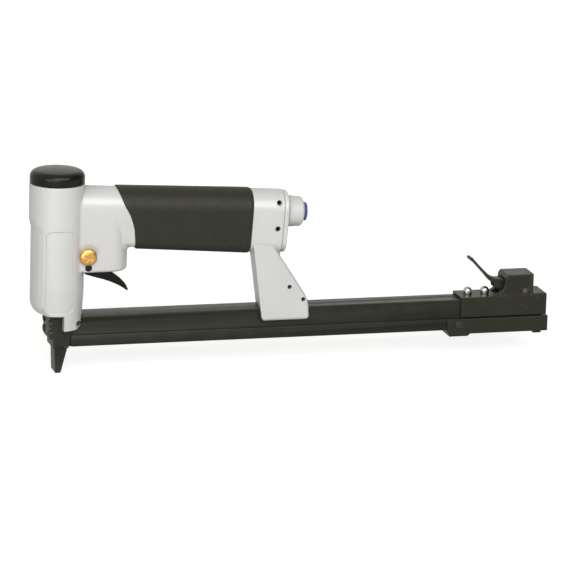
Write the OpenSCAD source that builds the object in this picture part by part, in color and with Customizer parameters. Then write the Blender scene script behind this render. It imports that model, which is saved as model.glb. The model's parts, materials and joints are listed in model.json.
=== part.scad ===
// Pneumatic upholstery stapler with a long bottom-loading magazine, in millimetres.
// The origin is the staple outlet in the nose tip. +X runs back along the magazine,
// +Y is the right-hand side for the user, and +Z runs up the driver axis to the cap.

/* [Head] */
// Outer radius of the head barrel
head_r = 20; // [19.5:0.5:23]
// Height of the barrel's rim above the nose tip
head_top_z = 139; // [136:1:146]
// Height of the head's underside above the nose tip
head_floor_z = 44.3; // [43.8:0.1:46]
// Distance of the bowed front face from the driver axis
front_face_x = 18.4; // [17.5:0.1:19.2]
// Radius of the bowed front face
front_bow_r = 28; // [24:1:36]
// Lowest edge of the skirt behind the nose
skirt_bottom_z = 33.4; // [31:0.2:35]
// Radius of the skirt
skirt_r = 18.6; // [17.5:0.1:19.2]
// Radius of the top cap
cap_r = 19.8; // [18:0.1:20]
// Height of the top cap above the rim
cap_h = 10.5; // [9.5:0.5:14]

/* [Drive] */
// Inside radius of the cylinder sleeve
bore_r = 11.5; // [11:0.1:11.9]
// Wall of the cylinder sleeve
sleeve_wall = 1.1; // [0.8:0.1:1.5]
// Height of the rubber bumper
bumper_h = 16; // [12:0.5:18]
// Width of the driver blade
driver_w = 12.6; // [11.6:0.1:12.8]
// Thickness of the driver blade
driver_t = 1; // [0.8:0.1:1.2]
// How far the head valve lifts
head_valve_lift = 3; // [2:0.5:4]

/* [Handle] */
// Downward tilt of the handle towards the rear, in degrees
handle_tilt = 3.5; // [2:0.5:5]
// How far the handle's top lies under the barrel's rim
handle_top_drop = 1.6; // [1:0.1:3]
// Radius of the handle section's round top and bottom
handle_r = 14.5; // [14.2:0.1:15.5]
// Height of those rounds' centres over the handle's axis
handle_rise = 7.7; // [7:0.1:8.5]
// How much taller the handle's rear ring stands above and below than its neck
ring_growth = 1.3; // [0:0.1:2]
// Length of the handle from the driver axis to its rear face
handle_end_u = 165; // [163:0.5:175]
// Where the grip's front edge crosses the handle's axis
grip_front_u = 50; // [46:1:56]
// Lean of the grip's front edge, in degrees
grip_lean = 15; // [5:1:20]
// Rear edge of the grip
grip_rear_u = 141.5; // [136:0.5:143]
// Thickness of the rubber grip
grip_t = 2.6; // [2:0.1:3]

/* [Trigger] */
// Trigger pin's distance from the driver axis
trigger_pin_x = 20.7; // [20.5:0.1:23]
// Trigger pin's height
trigger_pin_z = 78.6; // [78:0.1:80]
// Radius of the trigger pin
trigger_pin_r = 2.3; // [1.8:0.1:2.6]
// Width of the trigger
trigger_w = 11; // [9:0.5:12]
// Reach of the trigger's tip behind the pin
trigger_reach = 31.9; // [28:0.1:34]
// Drop of the trigger's tip below the pin
trigger_drop = 20.3; // [18:0.1:22]
// Underside of the trigger boss
boss_bottom_z = 74.8; // [74.2:0.1:75.6]
// Rear face of the trigger boss
boss_rear_x = 52; // [51:0.5:54]
// Half the width of the trigger boss
boss_half_w = 14.3; // [13.5:0.1:15]
// Distance of the trigger valve behind the driver axis
valve_x = 33.5; // [32.5:0.1:35]

/* [Rear leg] */
// Gap between the grip's rear edge and the leg
leg_setback = 0.9; // [0.5:0.1:3]
// How far the leg's front edge leans back down to its foot
leg_lean = 8.7; // [6:0.1:12]
// Length of the leg at the handle
leg_top_len = 20.1; // [18:0.1:22]
// Length of the leg's foot
leg_foot_len = 35.2; // [33:0.1:40]
// Lowest edge of the leg
leg_bottom_z = 33.6; // [31:0.2:36]
// Half the width of the leg
leg_half_w = 12; // [11:0.1:14.2]

/* [Air inlet] */
// Height of the inlet's axis over the handle's axis
inlet_w = 7.5; // [6:0.1:8]
// Radius of the inlet bush's collar
inlet_r = 11.2; // [10:0.1:13]
// Radius of the inlet's thread core, for a quarter inch pipe thread
inlet_bore_r = 5.72; // [5:0.01:5.9]
// Radius of the dust plug
plug_r = 6.8; // [6.3:0.1:7.2]
// How far the dust plug stands proud of the inlet
plug_proud = 2; // [1:0.5:4]

/* [Magazine] */
// Width of the fixed rail
rail_w = 18; // [17.4:0.2:19]
// Height of the rail's top face
rail_top_z = 42.3; // [41.5:0.1:43]
// Lower edge of the rail
rail_bottom_z = 24.2; // [23.6:0.1:24.6]
// Side wall of the rail
rail_wall = 2.3; // [2:0.1:2.5]
// Roof of the rail
rail_roof = 1.4; // [1.2:0.1:1.6]
// Rear end of the rail
rail_end_x = 366; // [340:1:400]
// Width of the magazine slide
slide_w = 24; // [23.4:0.2:26]
// Underside of the magazine slide
slide_bottom_z = 20.3; // [19.5:0.1:20.8]
// Top edge of the magazine slide
slide_top_z = 28.7; // [27.6:0.1:29.4]
// Width of the slide's core
core_w = 10.8; // [10:0.1:11]
// How far the pusher runs back
pusher_travel = 150; // [80:5:150]

/* [Nose] */
// Depth of the nosepiece behind the front plate's rear face
nose_depth = 9.6; // [9:0.1:11]
// Half the width of the nosepiece at the magazine
nose_half_w = 11; // [11:0.1:11.4]
// Half the width of the nose tip
tip_half_w = 8.2; // [7.6:0.1:9]
// Height of the slim nose tip
tip_h = 19; // [17:0.5:19.8]
// Depth of the nose tip behind the front plate, at its end
tip_depth = 4.9; // [4:0.1:6]

/* [Rear block] */
// Length of the block ahead of the rail's end
block_len = 63; // [60:0.5:70]
// Half the width of the block
block_half_w = 12; // [11.5:0.1:13]
// Lower edge of the block
block_bottom_z = 30.3; // [29.8:0.1:32]
// Thickness of the block over the rail
block_roof = 2; // [1.5:0.1:3]
// Height of the latch tower above the block
tower_h = 15; // [14:0.5:18]
// Half the width of the latch tower
tower_half_w = 10; // [9:0.5:11]

/* [Latch] */
// Distance of the latch pin ahead of the rail's end
latch_pin_back = 13.7; // [12:0.1:15]
// Height of the latch pin over the block
latch_pin_rise = 3.1; // [3:0.1:3.4]
// Reach of the lever's tip ahead of the pin
lever_reach = 40.6; // [38:0.2:46]
// Rise of the lever's tip over the pin
lever_rise = 24.6; // [22:0.2:28]
// Width of the latch lever
lever_w = 9.2; // [8:0.2:10]

/* [Hidden] */
// Overrun of every cut past the face that it opens
overrun = 1;
// Gap between pieces that are fixed together
fit = 0.05;
// Gap between pieces that turn or slide in each other
slip = 0.08;
// Gap that moving pieces keep to all others
sweep = 0.3;
// Facets of round shapes that are blended
blend_fn = 48;
// Steps of an arc that is drawn by points
arc_steps = 7;
$fn = 64;

// Colours
casting_colour = [0.78, 0.78, 0.77];
black_colour = [0.09, 0.09, 0.09];
rubber_colour = [0.13, 0.13, 0.12];
steel_colour = [0.62, 0.63, 0.65];
brass_colour = [0.78, 0.56, 0.22];
blue_colour = [0.2, 0.35, 0.75];
seal_colour = [0.18, 0.12, 0.1];

// Head, from the floor up
floor_t = 9.7;
floor_top_z = head_floor_z + floor_t;
head_bore_r = 14.2;
upper_bore_r = 17;
sleeve_drop = 15;
sleeve_top_z = head_top_z - sleeve_drop;
shoulder_drop = 6;
shoulder_z = sleeve_top_z - shoulder_drop;
flange_h = 3;
foot_h = 5;
front_top_z = shoulder_z - 2 * flange_h;
front_blend_h = 6;
front_round_r = 8.5;
skirt_front_x = 2.5;
// Section radii of the seal rings
seal_r = 0.9;
small_seal_r = 0.42;
// Handle details
handle_axis_z = head_top_z - handle_top_drop - handle_rise - handle_r;
ring_rise = handle_rise + ring_growth;
grip_proud = 0.7;
grip_rear_rise = ring_rise - fit;
grip_slice = 0.5;
seat_r = handle_r + grip_proud - grip_t;
chamber_wall = 2.8;
chamber_r = seat_r - chamber_wall;
chamber_front_u = 22;
chamber_over = 4.5;
chamber_rear_u = grip_rear_u + chamber_over;
port_r = 4;
port_rise = 0.5;
port_z = sleeve_top_z + port_rise;

// Magazine and stroke
roof_z = rail_top_z - rail_roof;
channel_half_w = rail_w / 2 - rail_wall;
crown_gap = 0.6;
stroke = roof_z + crown_gap;
rail_foot_out = 1.4;
rail_foot_t = 1.5;

// Piston stack
piston_gap = 1;
piston_bottom_z = floor_top_z + bumper_h + stroke + sweep;
piston_top_z = sleeve_top_z - piston_gap;
hub_r = 7.2;
hub_h = 7;
blade_root = 3.2;
blade_top_z = piston_bottom_z + blade_root;
driver_pin_r = 1.2;
driver_pin_z = piston_bottom_z - hub_h / 2;
port_ring_count = 8;
port_ring_r = 1;

// Head valve and cap
valve_seat_gap = 0.1;
head_valve_r = 13.5;
head_valve_h = 11.7;
head_valve_z = sleeve_top_z + valve_seat_gap;
head_valve_seal_share = 0.67;
recess_r = 9.5;
recess_floor = 3.7;
cap_skirt_h = 9;
lift_reserve = 3.7;
cap_ceiling_z = head_valve_z + head_valve_h + head_valve_lift + lift_reserve;
cap_edge_r = 5;
cap_crown = 0.6;
cap_edge_angle = 80;

// Nose
plate_back_x = -0.6;
plate_t = 3.8;
tongue_t = 1.6;
groove_half_w = driver_w / 2 + sweep;
groove_depth = 2 * abs(plate_back_x);
nose_rear_x = plate_back_x + nose_depth;
channel_floor_z = 21;
nose_screw_y = 8.9;
nose_screw_r = 1.25;
nose_screw_head_r = 2.6;
nose_screw_head_h = 2.6;
nose_screw_bite = 3.2;
nose_screw_drops = [14.4, 7];
nose_screw_zs = [for (drop = nose_screw_drops) head_floor_z - drop];
fixing_screw_inset = 2.8;
fixing_screw_x = nose_rear_x - fixing_screw_inset;
fixing_head_r = 2;
fixing_head_h = 3;
fixing_bite = 6;

// Trigger and valve
slot_h = 8.8;
slot_top_z = boss_bottom_z + slot_h;
eye_r = 4.3;
seat_drop = 3;
seat_len = 17.5;
trigger_round = 0.8;
trigger_side_gap = 0.5;
slot_rear_wall = 6;
trigger_front_drop_share = 0.35;
trigger_front_x = max(head_r + sweep - trigger_pin_x, -eye_r / 2);
boss_round = 4;
boss_rear_r = boss_half_w - sweep;
boss_top_z = handle_axis_z - handle_rise / 2;
valve_h = 14.4;
valve_r = 6.5;
valve_floor = 2.6;
valve_bore_r = 4.2;
valve_top_z = slot_top_z + valve_h;
stem_r = 1.65;
collar_z = slot_top_z + valve_floor + sweep;
collar_h = 2.2;
valve_cap_h = 2.2;
valve_cap_drop = 0.2;
valve_vent_r = 0.9;
stem_bottom_z = trigger_pin_z - seat_drop + sweep / 2;
// The trigger's lower and rear edges, as shares of its reach and its drop
trigger_edge_shares = [[0.22, 0.47], [0.46, 0.58], [0.75, 0.78], [0.97, 1], [1, 0.95],
    [0.93, 0.74], [0.85, 0.59], [0.74, 0.445], [0.64, 0.335]];
retainer_shift = 0.4;
retainer_rise = 8.2;
retainer_x = trigger_pin_x - retainer_shift;
retainer_z = trigger_pin_z + retainer_rise;
retainer_head_r = 6.3;
retainer_head_h = 3.2;
retainer_rim_h = 1.2;
// The screw head's dome, as shares of its radius and height
retainer_dome_shares = [[0.85, 0.72], [0.5, 0.94], [0, 1]];
retainer_shank_r = 2.4;
retainer_len = 9.5;
recess_w = 1.5;
recess_arm = 3.6;
recess_depth = 1.8;

// End cap and inlet, along the inlet's axis
end_flange_t = 3.6;
end_flange_inset = 0.5;
end_plug_r = 12;
end_plug_len = 18;
end_pin_r = 1.6;
end_pin_w = 9.4;
end_pin_inset = 3.8;
end_pin_u = handle_end_u - end_pin_inset;
stub_r = 7.9;
stub_len = 14;
neck_r = 9.2;
neck_len = 0.7;
collar_len = 12.95;
collar_round = 3;
mouth_depth = 1.8;
flange_end_u = handle_end_u + fit + end_flange_t;
collar_u = flange_end_u + neck_len;
mouth_u = collar_u + collar_len;

// Leg and hanger
leg_top_front_x = grip_rear_u + leg_setback;
leg_foot_front_x = leg_top_front_x + leg_lean;
leg_top_rear_x = leg_top_front_x + leg_top_len;
leg_foot_rear_x = leg_foot_front_x + leg_foot_len;
leg_knee_drop_share = 0.695;
leg_knee_x_share = 0.955;
leg_root_sink = 2;
leg_root_z = handle_axis_z - handle_r - leg_root_sink;
leg_top_z = handle_axis_z - leg_top_rear_x * tan(handle_tilt) - handle_r - handle_rise;
leg_round = 3;
leg_front_wall = 1.2;
hanger_half_w = 5.9;
hanger_h = 30.2;
hanger_top_z = leg_bottom_z + hanger_h;
hanger_inset = 3.5;
leg_pin_r = 1.4;
leg_pin_inset = 0.4;
leg_pin_shares = [[0.55, 0.83], [0.85, 0.51]];
front_screw_x = 14.2;
front_screw_rise = 4;
front_screw_z = skirt_bottom_z + front_screw_rise;
front_screw_r = 1.8;
front_screw_sink = 0.6;

// Slide, core and pusher
slide_base_t = 2.2;
slide_gap = 0.15;
slide_front_x = nose_rear_x + sweep;
core_wall = 1;
core_roof = 1.2;
core_front_x = 0.9;
core_front_wall = 1.5;
core_bottom_z = slide_bottom_z + slide_base_t;
pusher_roof = 1.3;
pusher_gap = 0.2;
core_top_z = roof_z - pusher_roof - 2 * pusher_gap;
core_slot_half_w = 1;
rod_r = 1.4;
rod_z = (core_bottom_z + core_top_z) / 2;
rod_wall_share = 0.72;
rod_wall_x = rail_end_x * rod_wall_share;
rod_wall_t = 4;
pusher_len = 14;
pusher_front_x = core_front_x + sweep;
pusher_block_front_x = core_front_x + core_front_wall + sweep;
pusher_leg_gap = 3.5;
pusher_leg_z = core_bottom_z + pusher_leg_gap;

// Rear block, latch and end clip
block_front_x = rail_end_x - block_len;
block_rear_over = 2;
block_top_z = rail_top_z + fit + block_roof;
shelf_rise = 1.1;
shelf_len = 10;
latch_pin_x = rail_end_x - latch_pin_back;
latch_pin_z = block_top_z + latch_pin_rise;
latch_pin_r = 1.8;
latch_hub_r = 2.8;
tower_rear_over = 6.2;
tower_rear_x = latch_pin_x + tower_rear_over;
tower_len = 25.5;
tower_rear_wall = 1.3;
tower_roof = 2.8;
tower_side_gap = 0.4;
tower_round = 0.3;
// The tower's outline, as shares of its length and height
tower_shares = [[0, 0], [0.09, 0.12], [0.15, 0.4], [0.19, 0.9], [0.24, 1], [1, 1], [1, 0]];
hook_drop = 7.8;
hook_front = 1.2;
hook_rear = 4.1;
hook_slot_front = 3.8;
hook_slot_rear = 7.2;
pocket_r = 4.2;
pocket_half_w = 2.2;
// The lever's outline from the hub forward, as shares of its reach and its rise
lever_under_shares = [[-0.13, -0.05], [-0.3, -0.02], [-0.52, 0.05], [-0.56, 0.19], [-0.623, 0.29],
    [-0.734, 0.463], [-1, 0.93]];
lever_over_shares = [[-0.985, 1], [-0.68, 0.49], [-0.62, 0.4], [-0.52, 0.34], [-0.3, 0.32], [-0.08, 0.12]];
lever_tip_r = 1.3;
lever_round = 0.4;
dome_screw_steps = [7.8, 21];
dome_head_r = 3.35;
dome_head_h = 5.5;
dome_rim_share = 0.4;
dome_shank_r = 1.5;
clip_len = 74;
clip_front_x = rail_end_x - clip_len;
clip_wall = 1.1;
clip_floor = 3;
clip_half_w = slide_w / 2 + fit + clip_wall;
clip_bottom_z = slide_bottom_z - fit - clip_floor;
clip_rear_t = 3.9;
clip_tab_len = 18;
clip_tab_drop = 1.7;
clip_foot_len = 6;
clip_foot_drop = 1.4;
clip_foot_inset = 5;
clip_bevel = 2;
stud_head = 5;
stud_head_h = 0.6;
stud_r = 1.4;
stud_x = clip_front_x + clip_tab_len / 2;
stud_z = (slide_bottom_z + slide_top_z) / 2;
stud_bite = 1;

// Springs: mean radius, wire radius and turns
head_spring_r = 7;
head_spring_wire_r = 0.7;
head_spring_count = 5;
small_spring_r = 2.9;
small_spring_wire_r = 0.4;
valve_spring_count = 4;
pusher_spring_count = 36;
latch_spring_count = 2.5;
spring_sides = 6;
spring_rings = 8;

// Shared shapes
function scaled(shares, w, h) = [for (p = shares) [p[0] * w, p[1] * h]];

// Points of a quarter arc about a centre, from one angle to another
function arc(cx, cy, r, a0, a1, steps) = [for (i = [0:steps])
    let (a = a0 + (a1 - a0) * i / steps) [cx + r * cos(a), cy + r * sin(a)]];

module slab(x0, x1, half_w, z0, z1) {
    translate([x0, -half_w, z0]) cube([x1 - x0, 2 * half_w, z1 - z0]);
}

module x_rod(y, z, r, x0, x1) {
    translate([x0, y, z]) rotate([0, 90, 0]) cylinder(r = r, h = x1 - x0);
}

module y_rod(x, z, r, y0, y1) {
    translate([x, y0, z]) rotate([-90, 0, 0]) cylinder(r = r, h = y1 - y0);
}

module z_rod(x, y, r, z0, z1) {
    translate([x, y, z0]) cylinder(r = r, h = z1 - z0);
}

module z_ring(r_mid, r_section, z) {
    translate([0, 0, z]) rotate_extrude() translate([r_mid, 0]) circle(r_section);
}

// A square groove round a shaft of the given radius, for a seal of the given section
module z_groove(r_shaft, r_section, z) {
    depth = 2 * r_section;
    half_h = r_section + fit;
    difference() {
        z_rod(0, 0, r_shaft + overrun, z - half_h, z + half_h);
        z_rod(0, 0, r_shaft - depth, z - half_h - overrun, z + half_h + overrun);
    }
}

// A seal that lies in such a groove, just inside the bore
module groove_seal(r_shaft, r_section, z) {
    z_ring(r_shaft - r_section + fit / 2, r_section - fit / 2, z);
}

// An outline in X and Z, extruded across the tool
module side_plate(points, half_w) {
    rotate([90, 0, 0]) linear_extrude(2 * half_w, center = true) polygon(points);
}

module rounded_plate(points, half_w, r) {
    rotate([90, 0, 0]) linear_extrude(2 * half_w, center = true)
        offset(r = r, $fn = blend_fn) offset(delta = -r) polygon(points);
}

// Puts its children in the handle's own frame: X along the handle, Z across it
module on_handle() {
    translate([0, 0, handle_axis_z]) rotate([0, handle_tilt, 0]) children();
}

// Puts its children on the inlet's axis, with Z pointing out of the inlet
module on_inlet() {
    on_handle() translate([0, 0, inlet_w]) rotate([0, 90, 0]) children();
}

// A stretch of the handle's tall round section
module handle_bar(u0, u1, r, rise = handle_rise) {
    on_handle() translate([u0, 0, 0]) rotate([90, 0, 90]) linear_extrude(u1 - u0) hull() {
        translate([0, rise]) circle(r, $fn = blend_fn);
        translate([0, -rise]) circle(r, $fn = blend_fn);
    }
}

// All that lies behind the grip's leaning front edge
module behind_grip_edge(shift) {
    reach = 2 * handle_end_u;
    on_handle() translate([grip_front_u + shift, 0, 0]) rotate([0, -grip_lean, 0])
        translate([0, -reach / 2, -reach / 2]) cube(reach);
}

// One unbroken tube wound along Z from zero to its length
module coil_spring(radius, wire, turns, length) {
    last = turns * spring_rings;
    points = [for (i = [0:last], j = [0:spring_sides - 1])
        let (a = 360 * i / spring_rings, b = 360 * j / spring_sides, r = radius + wire * cos(b))
        [r * cos(a), r * sin(a), wire + (length - 2 * wire) * i / last + wire * sin(b)]];
    sides = [for (i = [0:last - 1], j = [0:spring_sides - 1], k = [0, 1])
        let (p = i * spring_sides, q = p + spring_sides, n = (j + 1) % spring_sides)
        k == 0 ? [p + j, p + n, q + n] : [p + j, q + n, q + j]];
    first_end = [for (k = [1:spring_sides - 2]) [0, k + 1, k]];
    top = last * spring_sides;
    last_end = [for (k = [1:spring_sides - 2]) [top, top + k, top + k + 1]];
    polyhedron(points, concat(sides, first_end, last_end));
}

// Head section: the barrel with a flatter, bowed front
module head_section() {
    intersection() {
        circle(head_r);
        translate([front_bow_r - front_face_x, 0]) circle(front_bow_r);
    }
}

module head_shape() {
    low_top_z = front_top_z - front_blend_h;
    difference() {
        union() {
            intersection() {
                z_rod(0, 0, head_r, head_floor_z, low_top_z);
                z_rod(front_bow_r - front_face_x, 0, front_bow_r, head_floor_z - overrun,
                    low_top_z + overrun);
            }
            hull() {
                translate([0, 0, low_top_z - overrun]) linear_extrude(overrun, $fn = blend_fn) head_section();
                translate([0, 0, front_top_z]) cylinder(r = head_r, h = overrun, $fn = blend_fn);
            }
            z_rod(0, 0, head_r, front_top_z, head_top_z);
        }
        front_corner_cut();
    }
}

// Rounds the lower front corner of the head
module front_corner_cut() {
    low = head_floor_z - overrun;
    front = -front_face_x - overrun;
    side_plate(concat([[front, low]],
        [[front_round_r - front_face_x, low]],
        arc(front_round_r - front_face_x, head_floor_z + front_round_r, front_round_r, 270, 180, arc_steps),
        [[front, head_floor_z + front_round_r]]), head_r);
}

module skirt_shape() {
    difference() {
        z_rod(0, 0, skirt_r, skirt_bottom_z, head_floor_z + overrun);
        slab(-head_r, skirt_front_x, head_r, skirt_bottom_z - overrun, head_floor_z + 2 * overrun);
    }
}

module handle_shape() {
    difference() {
        handle_bar(0, grip_front_u + handle_r, handle_r);
        behind_grip_edge(0);
    }
    handle_bar(0, handle_end_u - fit, seat_r);
    handle_bar(grip_rear_u, handle_end_u, handle_r, ring_rise);
}

// Trigger boss: flush with the handle's sides, and rounded at the rear
module boss_shape() {
    difference() {
        translate([0, 0, boss_bottom_z]) linear_extrude(boss_top_z - boss_bottom_z)
            offset(r = boss_rear_r, $fn = blend_fn) offset(delta = -boss_rear_r)
                translate([0, -boss_half_w]) square([boss_rear_x, 2 * boss_half_w]);
        boss_corner_cut();
    }
}

// Rounds the lower rear corner of the boss
module boss_corner_cut() {
    low = boss_bottom_z - overrun;
    rear = boss_rear_x + overrun;
    start_x = boss_rear_x - boss_round;
    start_z = boss_bottom_z + boss_round;
    side_plate(concat([[rear, low], [rear, start_z]], arc(start_x, start_z, boss_round, 0, -90, arc_steps),
        [[start_x, low]]), head_r);
}

function leg_knee() = [leg_top_rear_x + leg_knee_x_share * (leg_foot_rear_x - leg_top_rear_x),
    leg_top_z + leg_knee_drop_share * (leg_bottom_z - leg_top_z)];

module leg_shape() {
    rounded_plate([[leg_top_front_x, leg_root_z], [leg_foot_front_x, leg_bottom_z],
        [leg_foot_rear_x, leg_bottom_z], leg_knee(), [leg_top_rear_x, leg_top_z],
        [leg_top_rear_x, leg_root_z]], leg_half_w, leg_round);
}

// Places of the two pins in the leg
function leg_pin_place(i) =
    [leg_foot_front_x + leg_pin_shares[i][0] * (leg_foot_rear_x - leg_foot_front_x),
        leg_bottom_z + leg_pin_shares[i][1] * (hanger_top_z - leg_bottom_z)];

module head_cuts() {
    z_rod(0, 0, head_bore_r, floor_top_z, head_top_z);
    z_rod(0, 0, upper_bore_r, shoulder_z, head_top_z + overrun);
    slab(-driver_t - sweep, driver_t + sweep, groove_half_w + sweep, skirt_bottom_z, floor_top_z + overrun);
    slab(-head_r, nose_rear_x + fit, nose_half_w + fit, skirt_bottom_z - overrun, head_floor_z);
    slab(0, head_r + overrun, rail_w / 2 + fit, skirt_bottom_z - overrun, rail_top_z + fit);
    for (side = [-1, 1]) {
        z_rod(fixing_screw_x, side * nose_screw_y, nose_screw_r + fit, head_floor_z - overrun,
            head_floor_z + fixing_bite + fit);
    }
    y_rod(front_screw_x, front_screw_z, front_screw_r + fit, -head_r, head_r);
}

module handle_cuts() {
    handle_bar(chamber_front_u, chamber_rear_u, chamber_r);
    on_inlet() translate([0, 0, chamber_rear_u - overrun])
        cylinder(r = end_plug_r + fit, h = handle_end_u - chamber_rear_u + 2 * overrun);
    x_rod(0, port_z, port_r, head_bore_r, chamber_front_u + 2 * port_r);
    end_pin_holes();
}

module trigger_cuts() {
    slot_half_w = trigger_w / 2 + trigger_side_gap;
    slab(trigger_pin_x - eye_r - sweep, boss_rear_x - slot_rear_wall, slot_half_w, boss_bottom_z - overrun,
        slot_top_z);
    y_rod(trigger_pin_x, trigger_pin_z, trigger_pin_r + fit, -head_r, head_r);
    y_rod(retainer_x, retainer_z, retainer_shank_r + fit, -head_r, fit - boss_half_w + retainer_len);
    y_rod(retainer_x, retainer_z, retainer_head_r + sweep, -head_r - handle_r, -boss_half_w);
    z_rod(valve_x, 0, valve_r + fit, slot_top_z - overrun, handle_axis_z);
}

module leg_cuts() {
    slab(leg_foot_front_x + leg_front_wall, leg_foot_rear_x + overrun, hanger_half_w + fit,
        leg_bottom_z - overrun, hanger_top_z + fit);
    slab(leg_top_front_x, leg_foot_rear_x + overrun, rail_w / 2 + fit, leg_bottom_z - overrun,
        rail_top_z + fit);
    for (i = [0, 1]) {
        y_rod(leg_pin_place(i)[0], leg_pin_place(i)[1], leg_pin_r + fit, -head_r, head_r);
    }
}

module housing() {
    color(casting_colour) difference() {
        union() {
            head_shape();
            skirt_shape();
            handle_shape();
            boss_shape();
            leg_shape();
        }
        head_cuts();
        handle_cuts();
        trigger_cuts();
        leg_cuts();
    }
}

module top_cap() {
    top_z = head_top_z + cap_h;
    spigot_r = upper_bore_r - fit;
    color(black_colour) difference() {
        rotate_extrude() polygon(concat(
            [[0, head_top_z - cap_skirt_h], [spigot_r, head_top_z - cap_skirt_h],
                [spigot_r, head_top_z + fit], [cap_r, head_top_z + fit]],
            arc(cap_r - cap_edge_r, top_z - cap_crown - cap_edge_r, cap_edge_r, 0, cap_edge_angle, arc_steps),
            [[0, top_z]]));
        z_rod(0, 0, head_valve_r + slip, head_top_z - cap_skirt_h - overrun, cap_ceiling_z);
        z_groove(spigot_r, seal_r, cap_seal_z());
    }
}

function cap_seal_z() = head_top_z - cap_skirt_h / 2;

module cap_seal_ring() {
    color(seal_colour) groove_seal(upper_bore_r - fit, seal_r, cap_seal_z());
}

function head_valve_seal_z() = head_valve_z + head_valve_h * head_valve_seal_share;

module head_valve() {
    color(black_colour) difference() {
        z_rod(0, 0, head_valve_r, head_valve_z, head_valve_z + head_valve_h);
        z_rod(0, 0, recess_r, head_valve_z + recess_floor, head_valve_z + head_valve_h + overrun);
        z_groove(head_valve_r, seal_r, head_valve_seal_z());
    }
}

module head_valve_seal() {
    color(seal_colour) groove_seal(head_valve_r, seal_r, head_valve_seal_z());
}

module head_valve_spring() {
    base = head_valve_z + recess_floor + fit;
    color(steel_colour) translate([0, 0, base])
        coil_spring(head_spring_r, head_spring_wire_r, head_spring_count, cap_ceiling_z - fit - base);
}

module cylinder_sleeve() {
    color(steel_colour) difference() {
        union() {
            z_rod(0, 0, bore_r + sleeve_wall, floor_top_z + fit, sleeve_top_z);
            z_rod(0, 0, head_bore_r - fit, floor_top_z + fit, floor_top_z + foot_h);
            z_rod(0, 0, upper_bore_r - fit, shoulder_z + fit, shoulder_z + flange_h);
        }
        z_rod(0, 0, bore_r, floor_top_z - overrun, sleeve_top_z + overrun);
        z_groove(head_bore_r - fit, seal_r, sleeve_foot_seal_z());
        z_groove(upper_bore_r - fit, seal_r, sleeve_flange_seal_z());
        for (i = [0:port_ring_count - 1]) {
            translate([0, 0, floor_top_z + bumper_h + 4 * port_ring_r])
                rotate([0, 90, 360 * i / port_ring_count]) cylinder(r = port_ring_r, h = head_bore_r);
        }
    }
}

function sleeve_foot_seal_z() = floor_top_z + foot_h / 2;
function sleeve_flange_seal_z() = shoulder_z + flange_h / 2;

module sleeve_seals() {
    color(seal_colour) {
        groove_seal(head_bore_r - fit, seal_r, sleeve_foot_seal_z());
        groove_seal(upper_bore_r - fit, seal_r, sleeve_flange_seal_z());
    }
}

function piston_r() = bore_r - slip;
function piston_ring_z() = (piston_bottom_z + piston_top_z) / 2;

module piston() {
    color(steel_colour) difference() {
        union() {
            z_rod(0, 0, piston_r(), piston_bottom_z, piston_top_z);
            z_rod(0, 0, hub_r, piston_bottom_z - hub_h, piston_bottom_z + overrun);
        }
        slab(-driver_t / 2 - fit, driver_t / 2 + fit, driver_w / 2 + fit, piston_bottom_z - hub_h - overrun,
            blade_top_z + fit);
        x_rod(0, driver_pin_z, driver_pin_r + fit, -hub_r - overrun, hub_r + overrun);
        z_groove(piston_r(), seal_r, piston_ring_z());
    }
}

module piston_ring() {
    color(seal_colour) groove_seal(piston_r(), seal_r, piston_ring_z());
}

module driver_blade() {
    color(steel_colour) difference() {
        slab(-driver_t / 2, driver_t / 2, driver_w / 2, stroke, blade_top_z);
        x_rod(0, driver_pin_z, driver_pin_r + fit, -hub_r, hub_r);
    }
}

module driver_pin() {
    color(steel_colour) x_rod(0, driver_pin_z, driver_pin_r, -hub_r + sweep, hub_r - sweep);
}

module bumper() {
    color(rubber_colour) difference() {
        z_rod(0, 0, bore_r - slip, floor_top_z + fit, floor_top_z + bumper_h);
        z_rod(0, 0, hub_r + 2 * sweep, floor_top_z - overrun, floor_top_z + bumper_h + overrun);
    }
}

module nosepiece() {
    color(black_colour) difference() {
        union() {
            side_plate([[plate_back_x, 0], [plate_back_x + tip_depth, 0], [nose_rear_x, tip_h],
                [nose_rear_x, tip_h + overrun], [plate_back_x, tip_h + overrun]], tip_half_w);
            slab(plate_back_x, nose_rear_x, nose_half_w, tip_h, head_floor_z - fit);
        }
        slab(plate_back_x - overrun, plate_back_x + groove_depth, groove_half_w, -overrun, head_floor_z);
        slab(plate_back_x, nose_rear_x + overrun, channel_half_w, channel_floor_z, roof_z);
        nose_screw_holes();
        for (side = [-1, 1]) {
            z_rod(fixing_screw_x, side * nose_screw_y, nose_screw_r + fit, tip_h, head_floor_z);
            z_rod(fixing_screw_x, side * nose_screw_y, fixing_head_r + fit, tip_h - overrun,
                tip_h + fixing_head_h + fit);
        }
    }
}

module nose_screw_holes() {
    for (side = [-1, 1], z = nose_screw_zs) {
        x_rod(side * nose_screw_y, z, nose_screw_r + fit, plate_back_x - plate_t - overrun,
            plate_back_x + nose_screw_bite + fit);
    }
}

module nose_front_plate() {
    color(black_colour) difference() {
        union() {
            slab(plate_back_x - plate_t, plate_back_x - fit, nose_half_w, tip_h, head_floor_z - fit);
            slab(plate_back_x - tongue_t, plate_back_x - fit, tip_half_w, 0, tip_h + overrun);
        }
        nose_screw_holes();
    }
}

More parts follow.
